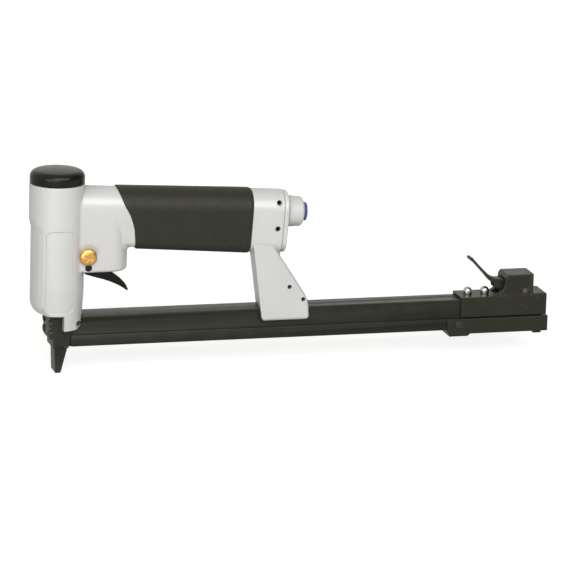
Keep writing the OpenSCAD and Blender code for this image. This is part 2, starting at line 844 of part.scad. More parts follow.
module nose_screws() {
    face_x = plate_back_x - plate_t;
    color(steel_colour) for (side = [-1, 1], z = nose_screw_zs) {
        difference() {
            union() {
                x_rod(side * nose_screw_y, z, nose_screw_r, face_x - overrun, plate_back_x + nose_screw_bite);
                x_rod(side * nose_screw_y, z, nose_screw_head_r, face_x - nose_screw_head_h, face_x);
            }
            translate([face_x - nose_screw_head_h - overrun, side * nose_screw_y, z]) rotate([0, 90, 0])
                cylinder(r = nose_screw_r, h = overrun + nose_screw_head_h / 2, $fn = 6);
        }
    }
}

module nose_fixing_screws() {
    color(steel_colour) for (side = [-1, 1]) {
        z_rod(fixing_screw_x, side * nose_screw_y, nose_screw_r, tip_h, head_floor_z + fixing_bite);
        z_rod(fixing_screw_x, side * nose_screw_y, fixing_head_r, tip_h, tip_h + fixing_head_h);
    }
}

module trigger() {
    color(black_colour) translate([trigger_pin_x, 0, trigger_pin_z]) difference() {
        union() {
            rounded_plate(concat([[trigger_front_x, -trigger_drop * trigger_front_drop_share]],
                scaled(trigger_edge_shares, trigger_reach, -trigger_drop),
                [[seat_len, -seat_drop], [trigger_front_x, -seat_drop]]), trigger_w / 2, trigger_round);
            y_rod(0, 0, eye_r, -trigger_w / 2, trigger_w / 2);
        }
        y_rod(0, 0, trigger_pin_r + slip, -trigger_w, trigger_w);
    }
}

module trigger_pin() {
    half = boss_half_w - fit;
    color(black_colour) y_rod(trigger_pin_x, trigger_pin_z, trigger_pin_r, -half, half);
}

module pin_retaining_screw() {
    face_y = -boss_half_w - fit;
    color(brass_colour) difference() {
        union() {
            y_rod(retainer_x, retainer_z, retainer_shank_r, face_y - overrun, -boss_half_w + retainer_len);
            translate([retainer_x, face_y, retainer_z]) rotate([90, 0, 0]) rotate_extrude() polygon(concat(
                [[0, 0], [retainer_head_r, 0], [retainer_head_r, retainer_rim_h]],
                scaled(retainer_dome_shares, retainer_head_r, retainer_head_h)));
        }
        translate([retainer_x, face_y - retainer_head_h, retainer_z]) for (turn = [0, 90]) {
            rotate([0, turn, 0]) cube([2 * recess_arm, 2 * recess_depth, recess_w], center = true);
        }
    }
}

module on_valve() {
    translate([valve_x, 0, 0]) children();
}

function valve_seal_zs() = [slot_top_z + valve_floor, slot_top_z + valve_h / 2];

module valve_body() {
    color(brass_colour) on_valve() difference() {
        z_rod(0, 0, valve_r, slot_top_z, valve_top_z);
        z_rod(0, 0, valve_bore_r, slot_top_z + valve_floor, valve_top_z + overrun);
        z_rod(0, 0, stem_r + slip, slot_top_z - overrun, valve_top_z);
        for (z = valve_seal_zs()) {
            z_groove(valve_r, small_seal_r, z);
        }
    }
}

module valve_body_seals() {
    color(seal_colour) on_valve() for (z = valve_seal_zs()) {
        groove_seal(valve_r, small_seal_r, z);
    }
}

module valve_stem() {
    color(steel_colour) on_valve() difference() {
        union() {
            z_rod(0, 0, stem_r, stem_bottom_z, collar_z + collar_h);
            z_rod(0, 0, valve_bore_r - slip, collar_z, collar_z + collar_h);
        }
        z_groove(valve_bore_r - slip, small_seal_r, collar_z + collar_h / 2);
    }
}

module valve_collar_seal() {
    color(seal_colour) on_valve() groove_seal(valve_bore_r - slip, small_seal_r, collar_z + collar_h / 2);
}

function valve_cap_z() = valve_top_z - valve_cap_drop - valve_cap_h;

module valve_spring() {
    base = collar_z + collar_h + fit;
    color(steel_colour) on_valve() translate([0, 0, base])
        coil_spring(small_spring_r, small_spring_wire_r, valve_spring_count, valve_cap_z() - fit - base);
}

module valve_cap() {
    color(brass_colour) on_valve() difference() {
        z_rod(0, 0, valve_bore_r - fit, valve_cap_z(), valve_cap_z() + valve_cap_h);
        z_rod(0, 0, valve_vent_r, valve_cap_z() - overrun, valve_cap_z() + valve_cap_h + overrun);
    }
}

module grip_sleeve() {
    color(rubber_colour) intersection() {
        difference() {
            hull() {
                handle_bar(0, grip_slice, handle_r + grip_proud);
                handle_bar(grip_rear_u - fit - grip_slice, grip_rear_u - fit, handle_r + grip_proud,
                    grip_rear_rise);
            }
            handle_bar(-overrun, grip_rear_u + overrun, seat_r + fit);
        }
        behind_grip_edge(fit);
    }
}

module end_pin_holes() {
    for (side = [-1, 1]) {
        on_handle() y_rod(end_pin_u, inlet_w + side * end_pin_w, end_pin_r + fit, -handle_r - overrun,
            handle_r + overrun);
    }
}

function end_seal_u() = handle_end_u - end_plug_len + 3 * seal_r;

module end_cap() {
    color(casting_colour) difference() {
        union() {
            handle_bar(handle_end_u + fit, flange_end_u, handle_r - end_flange_inset, ring_rise);
            on_inlet() translate([0, 0, handle_end_u - end_plug_len])
                cylinder(r = end_plug_r, h = end_plug_len + end_flange_t / 2);
        }
        on_inlet() translate([0, 0, handle_end_u - end_plug_len - overrun])
            cylinder(r = stub_r + fit, h = end_plug_len + end_flange_t + 2 * overrun);
        on_inlet() z_groove(end_plug_r, seal_r, end_seal_u());
        end_pin_holes();
    }
}

module end_cap_seal() {
    color(seal_colour) on_inlet() groove_seal(end_plug_r, seal_r, end_seal_u());
}

// Half the rear ring's width at a height over the handle's axis
function ring_half_w(w) = sqrt(pow(handle_r, 2) - pow(max(abs(w) - ring_rise, 0), 2));

module end_cap_pins() {
    color(black_colour) for (side = [-1, 1]) {
        half = ring_half_w(abs(inlet_w + side * end_pin_w) + end_pin_r) - fit;
        on_handle() y_rod(end_pin_u, inlet_w + side * end_pin_w, end_pin_r, -half, half);
    }
}

module inlet_bush() {
    color(casting_colour) on_inlet() rotate_extrude() polygon(concat(
        [[inlet_bore_r, flange_end_u - stub_len], [stub_r, flange_end_u - stub_len],
            [stub_r, flange_end_u + fit], [neck_r, flange_end_u + fit], [neck_r, collar_u],
            [inlet_r, collar_u]],
        arc(inlet_r - collar_round, mouth_u - collar_round, collar_round, 0, 90, arc_steps),
        [[plug_r + slip, mouth_u], [plug_r + slip, mouth_u - mouth_depth],
            [inlet_bore_r, mouth_u - mouth_depth]]));
}

module dust_plug() {
    edge = plug_proud / 4;
    color(blue_colour) on_inlet() rotate_extrude() polygon(
        [[0, mouth_u - mouth_depth], [plug_r, mouth_u - mouth_depth], [plug_r, mouth_u + plug_proud - edge],
            [plug_r - edge, mouth_u + plug_proud], [0, mouth_u + plug_proud]]);
}

module magazine_hanger() {
    knee = leg_knee();
    front = leg_foot_front_x + hanger_inset;
    color(black_colour) difference() {
        side_plate([[front, rail_top_z], [leg_foot_rear_x - hanger_inset, rail_top_z],
            [knee[0] - hanger_inset, knee[1]],
            [(leg_top_rear_x + knee[0]) / 2 - hanger_inset, hanger_top_z],
            [front, hanger_top_z]], hanger_half_w);
        for (i = [0, 1]) {
            y_rod(leg_pin_place(i)[0], leg_pin_place(i)[1], leg_pin_r + fit, -head_r, head_r);
        }
    }
}

module leg_pins() {
    half = leg_half_w - leg_pin_inset;
    color(black_colour) for (i = [0, 1]) {
        y_rod(leg_pin_place(i)[0], leg_pin_place(i)[1], leg_pin_r, -half, half);
    }
}

module rail_front_screws() {
    outer = sqrt(pow(skirt_r, 2) - pow(front_screw_x + front_screw_r, 2)) - front_screw_sink;
    inner = channel_half_w + slip;
    color(black_colour) for (side = [0, 1]) {
        mirror([0, side, 0]) difference() {
            y_rod(front_screw_x, front_screw_z, front_screw_r, inner, outer);
            translate([front_screw_x, outer + overrun, front_screw_z]) rotate([90, 0, 0])
                cylinder(r = front_screw_r / 2, h = 2 * overrun, $fn = 6);
        }
    }
}

module magazine_rail() {
    half = rail_w / 2;
    front = nose_rear_x + fit;
    color(black_colour) difference() {
        union() {
            slab(front, rail_end_x, half, rail_bottom_z, rail_top_z);
            slab(front, rail_end_x, half + rail_foot_out, rail_bottom_z, rail_bottom_z + rail_foot_t);
        }
        slab(front - overrun, rail_end_x + overrun, channel_half_w, rail_bottom_z - overrun, roof_z);
        y_rod(front_screw_x, front_screw_z, front_screw_r + fit, -head_r, head_r);
        hook_slot(rail_bottom_z);
        dome_screw_holes();
    }
}

module magazine_slide() {
    half = slide_w / 2;
    groove_z0 = rail_bottom_z - pusher_gap;
    groove_z1 = rail_bottom_z + rail_foot_t + pusher_gap;
    color(black_colour) difference() {
        slab(slide_front_x, rail_end_x, half, slide_bottom_z, slide_top_z);
        slab(slide_front_x - overrun, rail_end_x + overrun, rail_w / 2 + slide_gap, core_bottom_z,
            slide_top_z + overrun);
        slab(slide_front_x - overrun, rail_end_x + overrun, rail_w / 2 + rail_foot_out + slide_gap, groove_z0,
            groove_z1);
        stud_holes();
    }
}

module stud_holes() {
    for (side = [0, 1]) {
        mirror([0, side, 0])
            y_rod(stud_x, stud_z, stud_r + fit, slide_w / 2 - stud_bite - fit, clip_half_w + overrun);
    }
}

module slide_core() {
    half = core_w / 2;
    inside = half - core_wall;
    roof_under = core_top_z - core_roof;
    slot_end_x = pusher_front_x + pusher_len + pusher_travel + overrun;
    color(steel_colour) difference() {
        slab(core_front_x, rail_end_x, half, core_bottom_z, core_top_z);
        slab(core_front_x + core_front_wall, rod_wall_x, inside, core_bottom_z - overrun, roof_under);
        slab(rod_wall_x + rod_wall_t, rail_end_x + overrun, inside, core_bottom_z - overrun, roof_under);
        slab(core_front_x + core_front_wall, slot_end_x, core_slot_half_w, core_bottom_z,
            core_top_z + overrun);
        x_rod(0, rod_z, rod_r + fit, core_front_x - overrun, rod_wall_x + rod_wall_t + overrun);
        slab(latch_pin_x + hook_front - overrun, latch_pin_x + hook_rear + overrun, inside,
            roof_under - overrun, core_top_z + overrun);
    }
}

module slide_end_clip() {
    inner = slide_w / 2 + fit;
    rear_x = rail_end_x + clip_rear_t;
    tab_z = clip_bottom_z - clip_tab_drop;
    foot_z = clip_bottom_z - clip_foot_drop;
    foot_rear = rear_x - clip_foot_inset;
    color(black_colour) difference() {
        side_plate([[clip_front_x, slide_top_z], [clip_front_x, tab_z + 2 * clip_bevel],
            [clip_front_x + clip_bevel, tab_z], [clip_front_x + clip_tab_len - clip_bevel, tab_z],
            [clip_front_x + clip_tab_len, clip_bottom_z], [foot_rear - clip_foot_len, clip_bottom_z],
            [foot_rear - clip_foot_len, foot_z], [foot_rear, foot_z], [foot_rear, clip_bottom_z],
            [rear_x, clip_bottom_z], [rear_x, slide_top_z]], clip_half_w);
        slab(clip_front_x - overrun, rail_end_x + fit, inner, slide_bottom_z - fit, slide_top_z + overrun);
        stud_holes();
    }
}

module clip_studs() {
    color(steel_colour) for (side = [0, 1]) {
        mirror([0, side, 0]) {
            y_rod(stud_x, stud_z, stud_r, slide_w / 2 - stud_bite, clip_half_w + stud_head_h);
            translate([stud_x - stud_head / 2, clip_half_w, stud_z - stud_head / 2])
                cube([stud_head, stud_head_h, stud_head]);
        }
    }
}

module staple_pusher() {
    outer = channel_half_w - pusher_gap;
    inner = core_w / 2 + slip;
    roof_under = core_top_z + pusher_gap;
    roof_over = roof_under + pusher_roof;
    inside = core_w / 2 - core_wall - pusher_gap;
    block_top = core_top_z - core_roof - pusher_gap;
    rear = pusher_front_x + pusher_len;
    color(steel_colour) difference() {
        union() {
            difference() {
                slab(pusher_front_x, rear, outer, pusher_leg_z, roof_over);
                slab(pusher_front_x - overrun, rear + overrun, inner, pusher_leg_z - overrun, roof_under);
            }
            slab(pusher_block_front_x, rear, core_slot_half_w - pusher_gap, block_top - overrun,
                roof_under + pusher_gap);
            slab(pusher_block_front_x, rear, inside, pusher_leg_z, block_top);
        }
        x_rod(0, rod_z, rod_r + slip, pusher_front_x - overrun, rear + overrun);
    }
}

module pusher_rod() {
    color(steel_colour) x_rod(0, rod_z, rod_r, core_front_x, rod_wall_x + rod_wall_t);
}

module pusher_spring() {
    base = pusher_front_x + pusher_len + fit;
    color(steel_colour) translate([base, 0, rod_z]) rotate([0, 90, 0])
        coil_spring(small_spring_r, small_spring_wire_r, pusher_spring_count, rod_wall_x - fit - base);
}

// The slot that the latch's hook drops through
module hook_slot(low_z) {
    slab(latch_pin_x - hook_slot_front, latch_pin_x + hook_slot_rear, lever_w / 2 + tower_side_gap, low_z,
        block_top_z);
}

module dome_screw_holes() {
    for (step = dome_screw_steps) {
        z_rod(block_front_x + step, 0, dome_shank_r + fit, roof_z - overrun, block_top_z + overrun);
    }
}

module rear_block() {
    rear_x = rail_end_x + block_rear_over;
    tower_front_x = tower_rear_x - tower_len;
    slot_half_w = lever_w / 2 + tower_side_gap;
    outline = [for (p = scaled(tower_shares, tower_len, tower_h)) [tower_front_x + p[0], block_top_z + p[1]]];
    color(black_colour) difference() {
        union() {
            slab(block_front_x, rear_x, block_half_w, block_bottom_z, block_top_z);
            slab(rear_x - shelf_len, rear_x, block_half_w, block_bottom_z, block_top_z + shelf_rise);
            rounded_plate(concat([[tower_front_x, block_top_z - block_roof]], outline,
                [[tower_rear_x, block_top_z - block_roof]]), tower_half_w, tower_round);
        }
        slab(block_front_x - overrun, rear_x + overrun, rail_w / 2 + fit, block_bottom_z - overrun,
            rail_top_z + fit);
        slab(tower_front_x - overrun, tower_rear_x - tower_rear_wall, slot_half_w, block_top_z,
            block_top_z + tower_h - tower_roof);
        hook_slot(block_bottom_z);
        y_rod(latch_pin_x, latch_pin_z, latch_pin_r + fit, -block_half_w, block_half_w);
        dome_screw_holes();
    }
}

module block_screws() {
    base = block_top_z + fit;
    rim = dome_head_h * dome_rim_share;
    color(steel_colour) for (step = dome_screw_steps) {
        z_rod(block_front_x + step, 0, dome_shank_r, roof_z + slip, base + rim);
        translate([block_front_x + step, 0, base]) rotate_extrude() polygon(concat([[0, 0], [dome_head_r, 0]],
            [for (a = [0:15:90]) [dome_head_r * cos(a), rim + (dome_head_h - rim) * sin(a)]]));
    }
}

module latch_lever() {
    tip = [-lever_reach, lever_rise - lever_tip_r];
    outline = concat([[0, -latch_hub_r / 2]], scaled(lever_under_shares, lever_reach, lever_rise),
        scaled(lever_over_shares, lever_reach, lever_rise), [[0, latch_hub_r / 2]]);
    color(black_colour) translate([latch_pin_x, 0, latch_pin_z]) difference() {
        union() {
            rounded_plate(outline, lever_w / 2, lever_round);
            y_rod(0, 0, latch_hub_r, -lever_w / 2, lever_w / 2);
            y_rod(tip[0], tip[1], lever_tip_r, -lever_w / 2, lever_w / 2);
            slab(hook_front, hook_rear, lever_w / 2, -hook_drop, 0);
        }
        y_rod(0, 0, latch_pin_r + slip, -lever_w, lever_w);
        y_rod(0, 0, pocket_r, -pocket_half_w, pocket_half_w);
    }
}

module latch_pin() {
    color(brass_colour) y_rod(latch_pin_x, latch_pin_z, latch_pin_r, -tower_half_w, tower_half_w);
}

module latch_spring() {
    length = 2 * (pocket_half_w - sweep);
    color(steel_colour) translate([latch_pin_x, -length / 2, latch_pin_z]) rotate([-90, 0, 0])
        coil_spring(small_spring_r, small_spring_wire_r, latch_spring_count, length);
}

housing();
top_cap();
cap_seal_ring();
head_valve();
head_valve_seal();
head_valve_spring();
cylinder_sleeve();
sleeve_seals();
piston();
piston_ring();
driver_blade();
driver_pin();
bumper();
nosepiece();
nose_front_plate();
nose_screws();
nose_fixing_screws();
trigger();
trigger_pin();
pin_retaining_screw();
valve_body();
valve_stem();
valve_collar_seal();
valve_body_seals();
valve_spring();
valve_cap();
grip_sleeve();
end_cap();
end_cap_seal();
end_cap_pins();
inlet_bush();
dust_plug();
magazine_hanger();
leg_pins();
rail_front_screws();
magazine_rail();
magazine_slide();
slide_core();
slide_end_clip();
clip_studs();
staple_pusher();
pusher_rod();
pusher_spring();
rear_block();
block_screws();
latch_lever();
latch_pin();
latch_spring();
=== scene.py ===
# Looks of the pneumatic upholstery stapler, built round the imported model.
# Lengths are in millimetres until a piece is finished, and in metres after that.
import functools
import json
import math

import bmesh
import bpy
import numpy as np
from mathutils import Matrix, Vector


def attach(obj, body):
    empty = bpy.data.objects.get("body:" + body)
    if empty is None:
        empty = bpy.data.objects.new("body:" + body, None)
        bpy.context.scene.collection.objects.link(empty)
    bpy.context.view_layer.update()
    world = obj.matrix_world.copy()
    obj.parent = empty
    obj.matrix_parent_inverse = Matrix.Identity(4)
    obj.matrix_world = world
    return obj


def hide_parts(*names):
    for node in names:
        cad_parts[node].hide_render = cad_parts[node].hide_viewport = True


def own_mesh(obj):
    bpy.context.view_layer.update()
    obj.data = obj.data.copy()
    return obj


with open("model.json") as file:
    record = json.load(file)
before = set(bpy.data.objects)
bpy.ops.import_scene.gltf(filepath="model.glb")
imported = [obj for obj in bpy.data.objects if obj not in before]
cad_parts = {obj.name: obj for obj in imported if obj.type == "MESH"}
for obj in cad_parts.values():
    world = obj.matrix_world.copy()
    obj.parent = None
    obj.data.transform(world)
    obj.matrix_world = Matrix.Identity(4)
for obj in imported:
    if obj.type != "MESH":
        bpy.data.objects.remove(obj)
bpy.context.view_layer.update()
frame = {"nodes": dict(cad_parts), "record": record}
MM = 0.001

# Camera, fitted to the photograph
AZIMUTH = math.radians(15.7817)
ELEVATION = math.radians(14.4223)
ROLL = math.radians(1.7075)
TARGET = Vector((173.122, 0, 54.265))
DISTANCE = 3000.0
FOCAL, SENSOR = 257.214, 36

# Sizes that repeat the part's own
HEAD_R, HEAD_TOP, HEAD_FLOOR = 20.0, 139.0, 44.3
HANDLE_Z, HANDLE_RISE, HANDLE_R = 115.2, 7.7, 14.5
TILT, LEAN = math.radians(3.5), math.radians(15)
GRIP_U0, GRIP_U1, HANDLE_END, RING_RISE = 50.0, 141.5, 165.0, 9.0
INLET_W = 7.5
PIN_X, PIN_Z = 20.7, 78.6
SCREW_X, SCREW_Z, SIDE_FACE = 20.3, 86.8, -14.35
LATCH_X, LATCH_Z = 352.3, 47.45
LATCH_SLOT, LATCH_SLOT_HALF = (348.5, 359.5), 5.0
RAIL_HALF, RAIL_TOP, RAIL_END = 9.0, 42.3, 366.0
FRONT_SCREW_X, FRONT_SCREW_Z, FRONT_SCREW_R = 14.2, 37.4, 1.85
NOSE_HALF, NOSE_REAR, NOSE_TOP = 11.0, 9.0, 44.25
NOSE_SCREW_Y, NOSE_SCREW_ROWS = 8.9, (29.9, 37.3)
BLOCK_SCREWS, BLOCK_SCREW_R = (310.8, 324.0), 1.55
STUD_X, STUD_Z, STUD_HOLE_R = 301.0, 24.5, 1.45
VALVE_X = 33.5
# Gap between pieces that fit closely
FIT = 0.05


# Distance fields: negative inside

def hyp(a, b):
    return np.sqrt(a * a + b * b)


def join_max(a, b, r):
    """Intersection with its edge rounded by r."""
    return np.minimum(np.maximum(a, b), -r) + hyp(np.maximum(a + r, 0), np.maximum(b + r, 0))


def join_min(a, b, r):
    """Union with its corner filled by r."""
    return -join_max(-a, -b, r)


def most(*fields):
    return functools.reduce(np.maximum, fields)


def least(*fields):
    return functools.reduce(np.minimum, fields)


def span(a, low, high):
    return np.maximum(low - a, a - high)


def middle_half(a, low, high):
    return np.abs(a - (low + high) / 2) - (high - low) / 2


def step_up(a):
    t = np.clip(a, 0, 1)
    return t * t * (3 - 2 * t)


def outline(a, b, points):
    """Signed distance to a closed polygon."""
    near = np.full(a.shape, 1e9, a.dtype)
    inside = np.zeros(a.shape, bool)
    for (a0, b0), (a1, b1) in zip(points, points[1:] + points[:1]):
        da, db = a1 - a0, b1 - b0
        pa, pb = a - a0, b - b0
        t = np.clip((pa * da + pb * db) / (da * da + db * db), 0, 1)
        near = np.minimum(near, (pa - da * t) ** 2 + (pb - db * t) ** 2)
        inside ^= ((b0 <= b) != (b1 <= b)) & (pa < da * pb / (db or 1))
    return np.where(inside, -1, 1) * np.sqrt(near)


CURVE_STEPS = 5


def curve_through(points):
    """A smooth open line through points."""
    p = [np.array(q, float) for q in points]
    p = [2 * p[0] - p[1]] + p + [2 * p[-1] - p[-2]]
    out = []
    for i in range(1, len(p) - 2):
        for k in range(CURVE_STEPS):
            t = k / CURVE_STEPS
            out.append(tuple(0.5 * (2 * p[i] + (p[i + 1] - p[i - 1]) * t
                + (2 * p[i - 1] - 5 * p[i] + 4 * p[i + 1] - p[i + 2]) * t * t
                + (3 * p[i] - 3 * p[i + 1] + p[i + 2] - p[i - 1]) * t ** 3)))
    return out + [tuple(p[-2])]


# Meshes

# Step of a slope, the shortest edge that is split, and the turn along an edge that splits it
FINE, SHORTEST, TURN_LIMIT = 0.08, 0.22, math.cos(math.radians(16))
# The fields of the meshes that were made from one, by the object's name
field_of = {}
CORNERS = [(i, j, k) for i in (0, 1) for j in (0, 1) for k in (0, 1)]
EDGES = [(a, b) for a in range(8) for b in range(a + 1, 8)
    if sum(abs(p - q) for p, q in zip(CORNERS[a], CORNERS[b])) == 1]


def field_mesh(distance, low, high, step, keep):
    """A mesh of the surface where the distance field is zero, thinned to the share keep and then made finer
    where the surface turns."""
    low = np.array(low, float) - 2 * step
    counts = np.ceil((np.array(high, float) + 2 * step - low) / step).astype(int) + 1
    axes = [low[i] + step * np.arange(counts[i]) for i in range(3)]
    values = np.empty(counts, np.float32)
    for i, x in enumerate(axes[0]):
        y, z = np.meshgrid(axes[1], axes[2], indexing="ij")
        values[i] = distance(np.full(y.shape, x), y, z)
    inside = values < 0
    total = sum(inside[i:counts[0] - 1 + i, j:counts[1] - 1 + j, k:counts[2] - 1 + k].astype(np.int8)
        for i, j, k in CORNERS)
    cells = np.argwhere((total > 0) & (total < 8))
    corner = np.array([values[tuple((cells + c).T)] for c in CORNERS])
    place, count = np.zeros((len(cells), 3)), np.zeros((len(cells), 1))
    for a, b in EDGES:
        hit = (corner[a] < 0) != (corner[b] < 0)
        t = np.where(hit, corner[a] / np.where(hit, corner[a] - corner[b], 1), 0)
        point = np.array(CORNERS[a]) + t[:, None] * (np.array(CORNERS[b]) - np.array(CORNERS[a]))
        place += np.where(hit[:, None], point, 0)
        count += hit[:, None]
    verts = low + step * (cells + place / count)
    index = np.full(counts - 1, -1, np.int64)
    index[tuple(cells.T)] = np.arange(len(cells))
    quads = []
    for axis in range(3):
        side = [1, 1, 1]
        side[axis] = 0
        first = inside[tuple(slice(s, counts[i] - 1) for i, s in enumerate(side))]
        shift = [slice(s, counts[i] - 1) for i, s in enumerate(side)]
        shift[axis] = slice(1, counts[axis])
        second = inside[tuple(shift)]
        found = np.argwhere(first != second)
        outward = first[tuple(found.T)]
        base = found + np.array(side)
        u, v = np.eye(3, dtype=int)[(axis + 1) % 3], np.eye(3, dtype=int)[(axis + 2) % 3]
        ring = np.stack([index[tuple((base - s).T)] for s in (u + v, v, 0 * u, u)], 1)
        quads.append(np.where(outward[:, None], ring, ring[:, ::-1]))
    quads = np.concatenate(quads)
    for _ in range(2):
        verts = settle(distance, verts, step)
    mesh = bpy.data.meshes.new("field")
    mesh.from_pydata(verts.tolist(), [], quads.tolist())
    obj = bpy.data.objects.new("field", mesh)
    bpy.context.scene.collection.objects.link(obj)
    thin = obj.modifiers.new("thin", "DECIMATE")
    thin.ratio = keep
    bake(obj)
    for _ in range(3):
        refine(obj.data, distance, step)
    field_of[obj.name] = distance
    return obj


def unit_slope(distance, verts):
    g = slope(distance, verts, FINE)
    return g / np.maximum(np.linalg.norm(g, axis=1, keepdims=True), 1e-9)


def coordinates(mesh):
    out = np.empty(3 * len(mesh.vertices))
    mesh.vertices.foreach_get("co", out)
    return out.reshape(-1, 3)


def refine(mesh, distance, step):
    """Splits the edges across which the surface turns, and puts the new points on the surface."""
    verts = coordinates(mesh)
    ends = np.empty(2 * len(mesh.edges), np.int64)
    mesh.edges.foreach_get("vertices", ends)
    ends = ends.reshape(-1, 2)
    normals = unit_slope(distance, verts)
    turn = (normals[ends[:, 0]] * normals[ends[:, 1]]).sum(1)
    length = np.linalg.norm(verts[ends[:, 0]] - verts[ends[:, 1]], axis=1)
    split = np.flatnonzero((turn < TURN_LIMIT) & (length > SHORTEST))
    bm = bmesh.new()
    bm.from_mesh(mesh)
    bm.edges.ensure_lookup_table()
    bmesh.ops.subdivide_edges(bm, edges=[bm.edges[i] for i in split], cuts=1)
    bmesh.ops.triangulate(bm, faces=[f for f in bm.faces if len(f.verts) > 3])
    bm.to_mesh(mesh)
    bm.free()
    moved = coordinates(mesh)
    fresh = np.arange(len(moved)) >= len(verts)
    moved[fresh] = settle(distance, moved[fresh], 0.5 * step)
    mesh.vertices.foreach_set("co", moved.ravel())
    mesh.update()


def slope(distance, verts, h):
    return np.stack([(distance(*(verts + d).T) - distance(*(verts - d).T)) / (2 * h)
        for d in np.eye(3) * h], 1)


def settle(distance, verts, step):
    g = slope(distance, verts, 0.15 * step)
    size = np.maximum((g * g).sum(1, keepdims=True), 0.05)
    move = distance(*verts.T)[:, None] * g / size
    length = np.linalg.norm(move, axis=1, keepdims=True)
    return verts - move * np.minimum(1, 0.6 * step / np.maximum(length, 1e-9))


def bake(obj):
    """Applies an object's modifiers."""
    graph = bpy.context.evaluated_depsgraph_get()
    graph.update()
    mesh = bpy.data.meshes.new_from_object(obj.evaluated_get(graph))
    old = obj.data
    obj.modifiers.clear()
    obj.data = mesh
    bpy.data.meshes.remove(old)
    return obj


def solid(verts, faces):
    mesh = bpy.data.meshes.new("solid")
    mesh.from_pydata([tuple(v) for v in verts], [], faces)
    bm = bmesh.new()
    bm.from_mesh(mesh)
    bmesh.ops.remove_doubles(bm, verts=bm.verts, dist=1e-5)
    bmesh.ops.recalc_face_normals(bm, faces=bm.faces)
    bm.to_mesh(mesh)
    bm.free()
    obj = bpy.data.objects.new("solid", mesh)
    bpy.context.scene.collection.objects.link(obj)
    return obj


def extrude(points, low, high, place):
    """A prism on a closed outline; place turns outline a, b and depth t into x, y, z."""
    n = len(points)
    verts = [place(a, b, t) for t in (low, high) for a, b in points]
    faces = [list(range(n)), list(range(2 * n - 1, n - 1, -1))]
    faces += [[i, (i + 1) % n, n + (i + 1) % n, n + i] for i in range(n)]
    return solid(verts, faces)


def along_y(a, b, t):
    return (a, t, b)


def along_x(a, b, t):
    return (t, a, b)


def block(x0, x1, y0, y1, z0, z1):
    return extrude([(x0, z0), (x1, z0), (x1, z1), (x0, z1)], y0, y1, along_y)


def lathe(profile, place, turns):
    """Turns a closed profile of radius and height about an axis; place turns a, b, t into x, y, z."""
    n = len(profile)
    verts, faces = [], []
    for k in range(turns):
        c, s = math.cos(2 * math.pi * k / turns), math.sin(2 * math.pi * k / turns)
        verts += [place(r * c, r * s, t) for r, t in profile]
    for k in range(turns):
        a, b = k * n, (k + 1) % turns * n
        for i in range(n):
            j = (i + 1) % n
            if profile[i][0] > 1e-6 or profile[j][0] > 1e-6:
                faces.append([a + i, a + j, b + j, b + i])
    return solid(verts, faces)


def rod(r, low, high, place, turns=48):
    angles = [2 * math.pi * k / turns for k in range(turns)]
    return extrude([(r * math.cos(a), r * math.sin(a)) for a in angles], low, high, place)


def about(x, y, z, axis):
    """A place function for a round piece: a point it stands on, and the axis it lies along."""
    w = Vector(axis).normalized()
    u = w.orthogonal().normalized()
    v = w.cross(u)
    base = Vector((x, y, z))
    return lambda a, b, t: tuple(base + u * a + v * b + w * t)


def cut(obj, *cutters, operation="DIFFERENCE"):
    for cutter in cutters:
        mod = obj.modifiers.new("cut", "BOOLEAN")
        mod.operation = operation
        mod.solver = "EXACT"
        mod.object = cutter
        bake(obj)
        bpy.data.objects.remove(cutter)
    return obj


def merge(*objs):
    return cut(objs[0], *objs[1:], operation="UNION")


def gather(*objs):
    """Several solids in one piece."""
    bm = bmesh.new()
    for obj in objs:
        bm.from_mesh(obj.data)
    bm.to_mesh(objs[0].data)
    bm.free()
    for obj in objs[1:]:
        bpy.data.objects.remove(obj)
    return objs[0]


def soften(obj, width, segments=2, angle=28):
    mod = obj.modifiers.new("soften", "BEVEL")
    mod.width = width
    mod.segments = segments
    mod.limit_method = "ANGLE"
    mod.angle_limit = math.radians(angle)
    mod.miter_outer = "MITER_ARC"
    return bake(obj)


def piece(name, obj, slot, body, *nodes, smooth=32):
    """Turns a solid into a finished piece that rides on a body and stands for CAD nodes."""
    mesh = obj.data
    normals = None
    if obj.name in field_of:
        normals = unit_slope(field_of.pop(obj.name), coordinates(mesh))
    obj.name = name
    mesh.name = name
    mesh.transform(Matrix.Scale(MM, 4))
    mesh.shade_smooth()
    if normals is None:
        mesh.set_sharp_from_angle(angle=math.radians(smooth))
    else:
        mesh.normals_split_custom_set_from_vertices(normals.tolist())
    mesh.materials.clear()
    mesh.materials.append(looks[slot])
    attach(obj, body)
    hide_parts(*nodes)
    return obj


# Materials

def linear(*srgb):
    return tuple((c / 255 / 12.92) if c <= 10 else ((c / 255 + 0.055) / 1.055) ** 2.4 for c in srgb)


# Where the mottle changes colour, which edges count as worn, and how open a crevice is before painted shade
# darkens it
MOTTLE_RANGE, WORN_RANGE, PAINTED_SHADE_RANGE = (0.3, 0.7), (0.53, 0.62), (0.35, 0.95)
# How far the painted shade's occlusion test reaches, then the depth of grain and cells and the coat's
# roughness
PAINTED_SHADE_REACH, GRAIN_DEPTH, CELL_DEPTH, COAT_ROUGH = 0.016, 0.0004, 0.0005, 0.12


def fill(tree, node, sockets):
    """Sets a node's sockets to values, or links them to other nodes' sockets."""
    for key, value in sockets.items():
        if isinstance(value, bpy.types.NodeSocket):
            tree.links.new(value, node.inputs[key])
        else:
            node.inputs[key].default_value = value


def node_maker(tree):
    """A function that adds a node to a tree, with its settings and its sockets."""
    def add(kind, sockets, **settings):
        node = tree.nodes.new(kind)
        for key, value in settings.items():
            setattr(node, key, value)
        fill(tree, node, sockets)
        return node

    return add


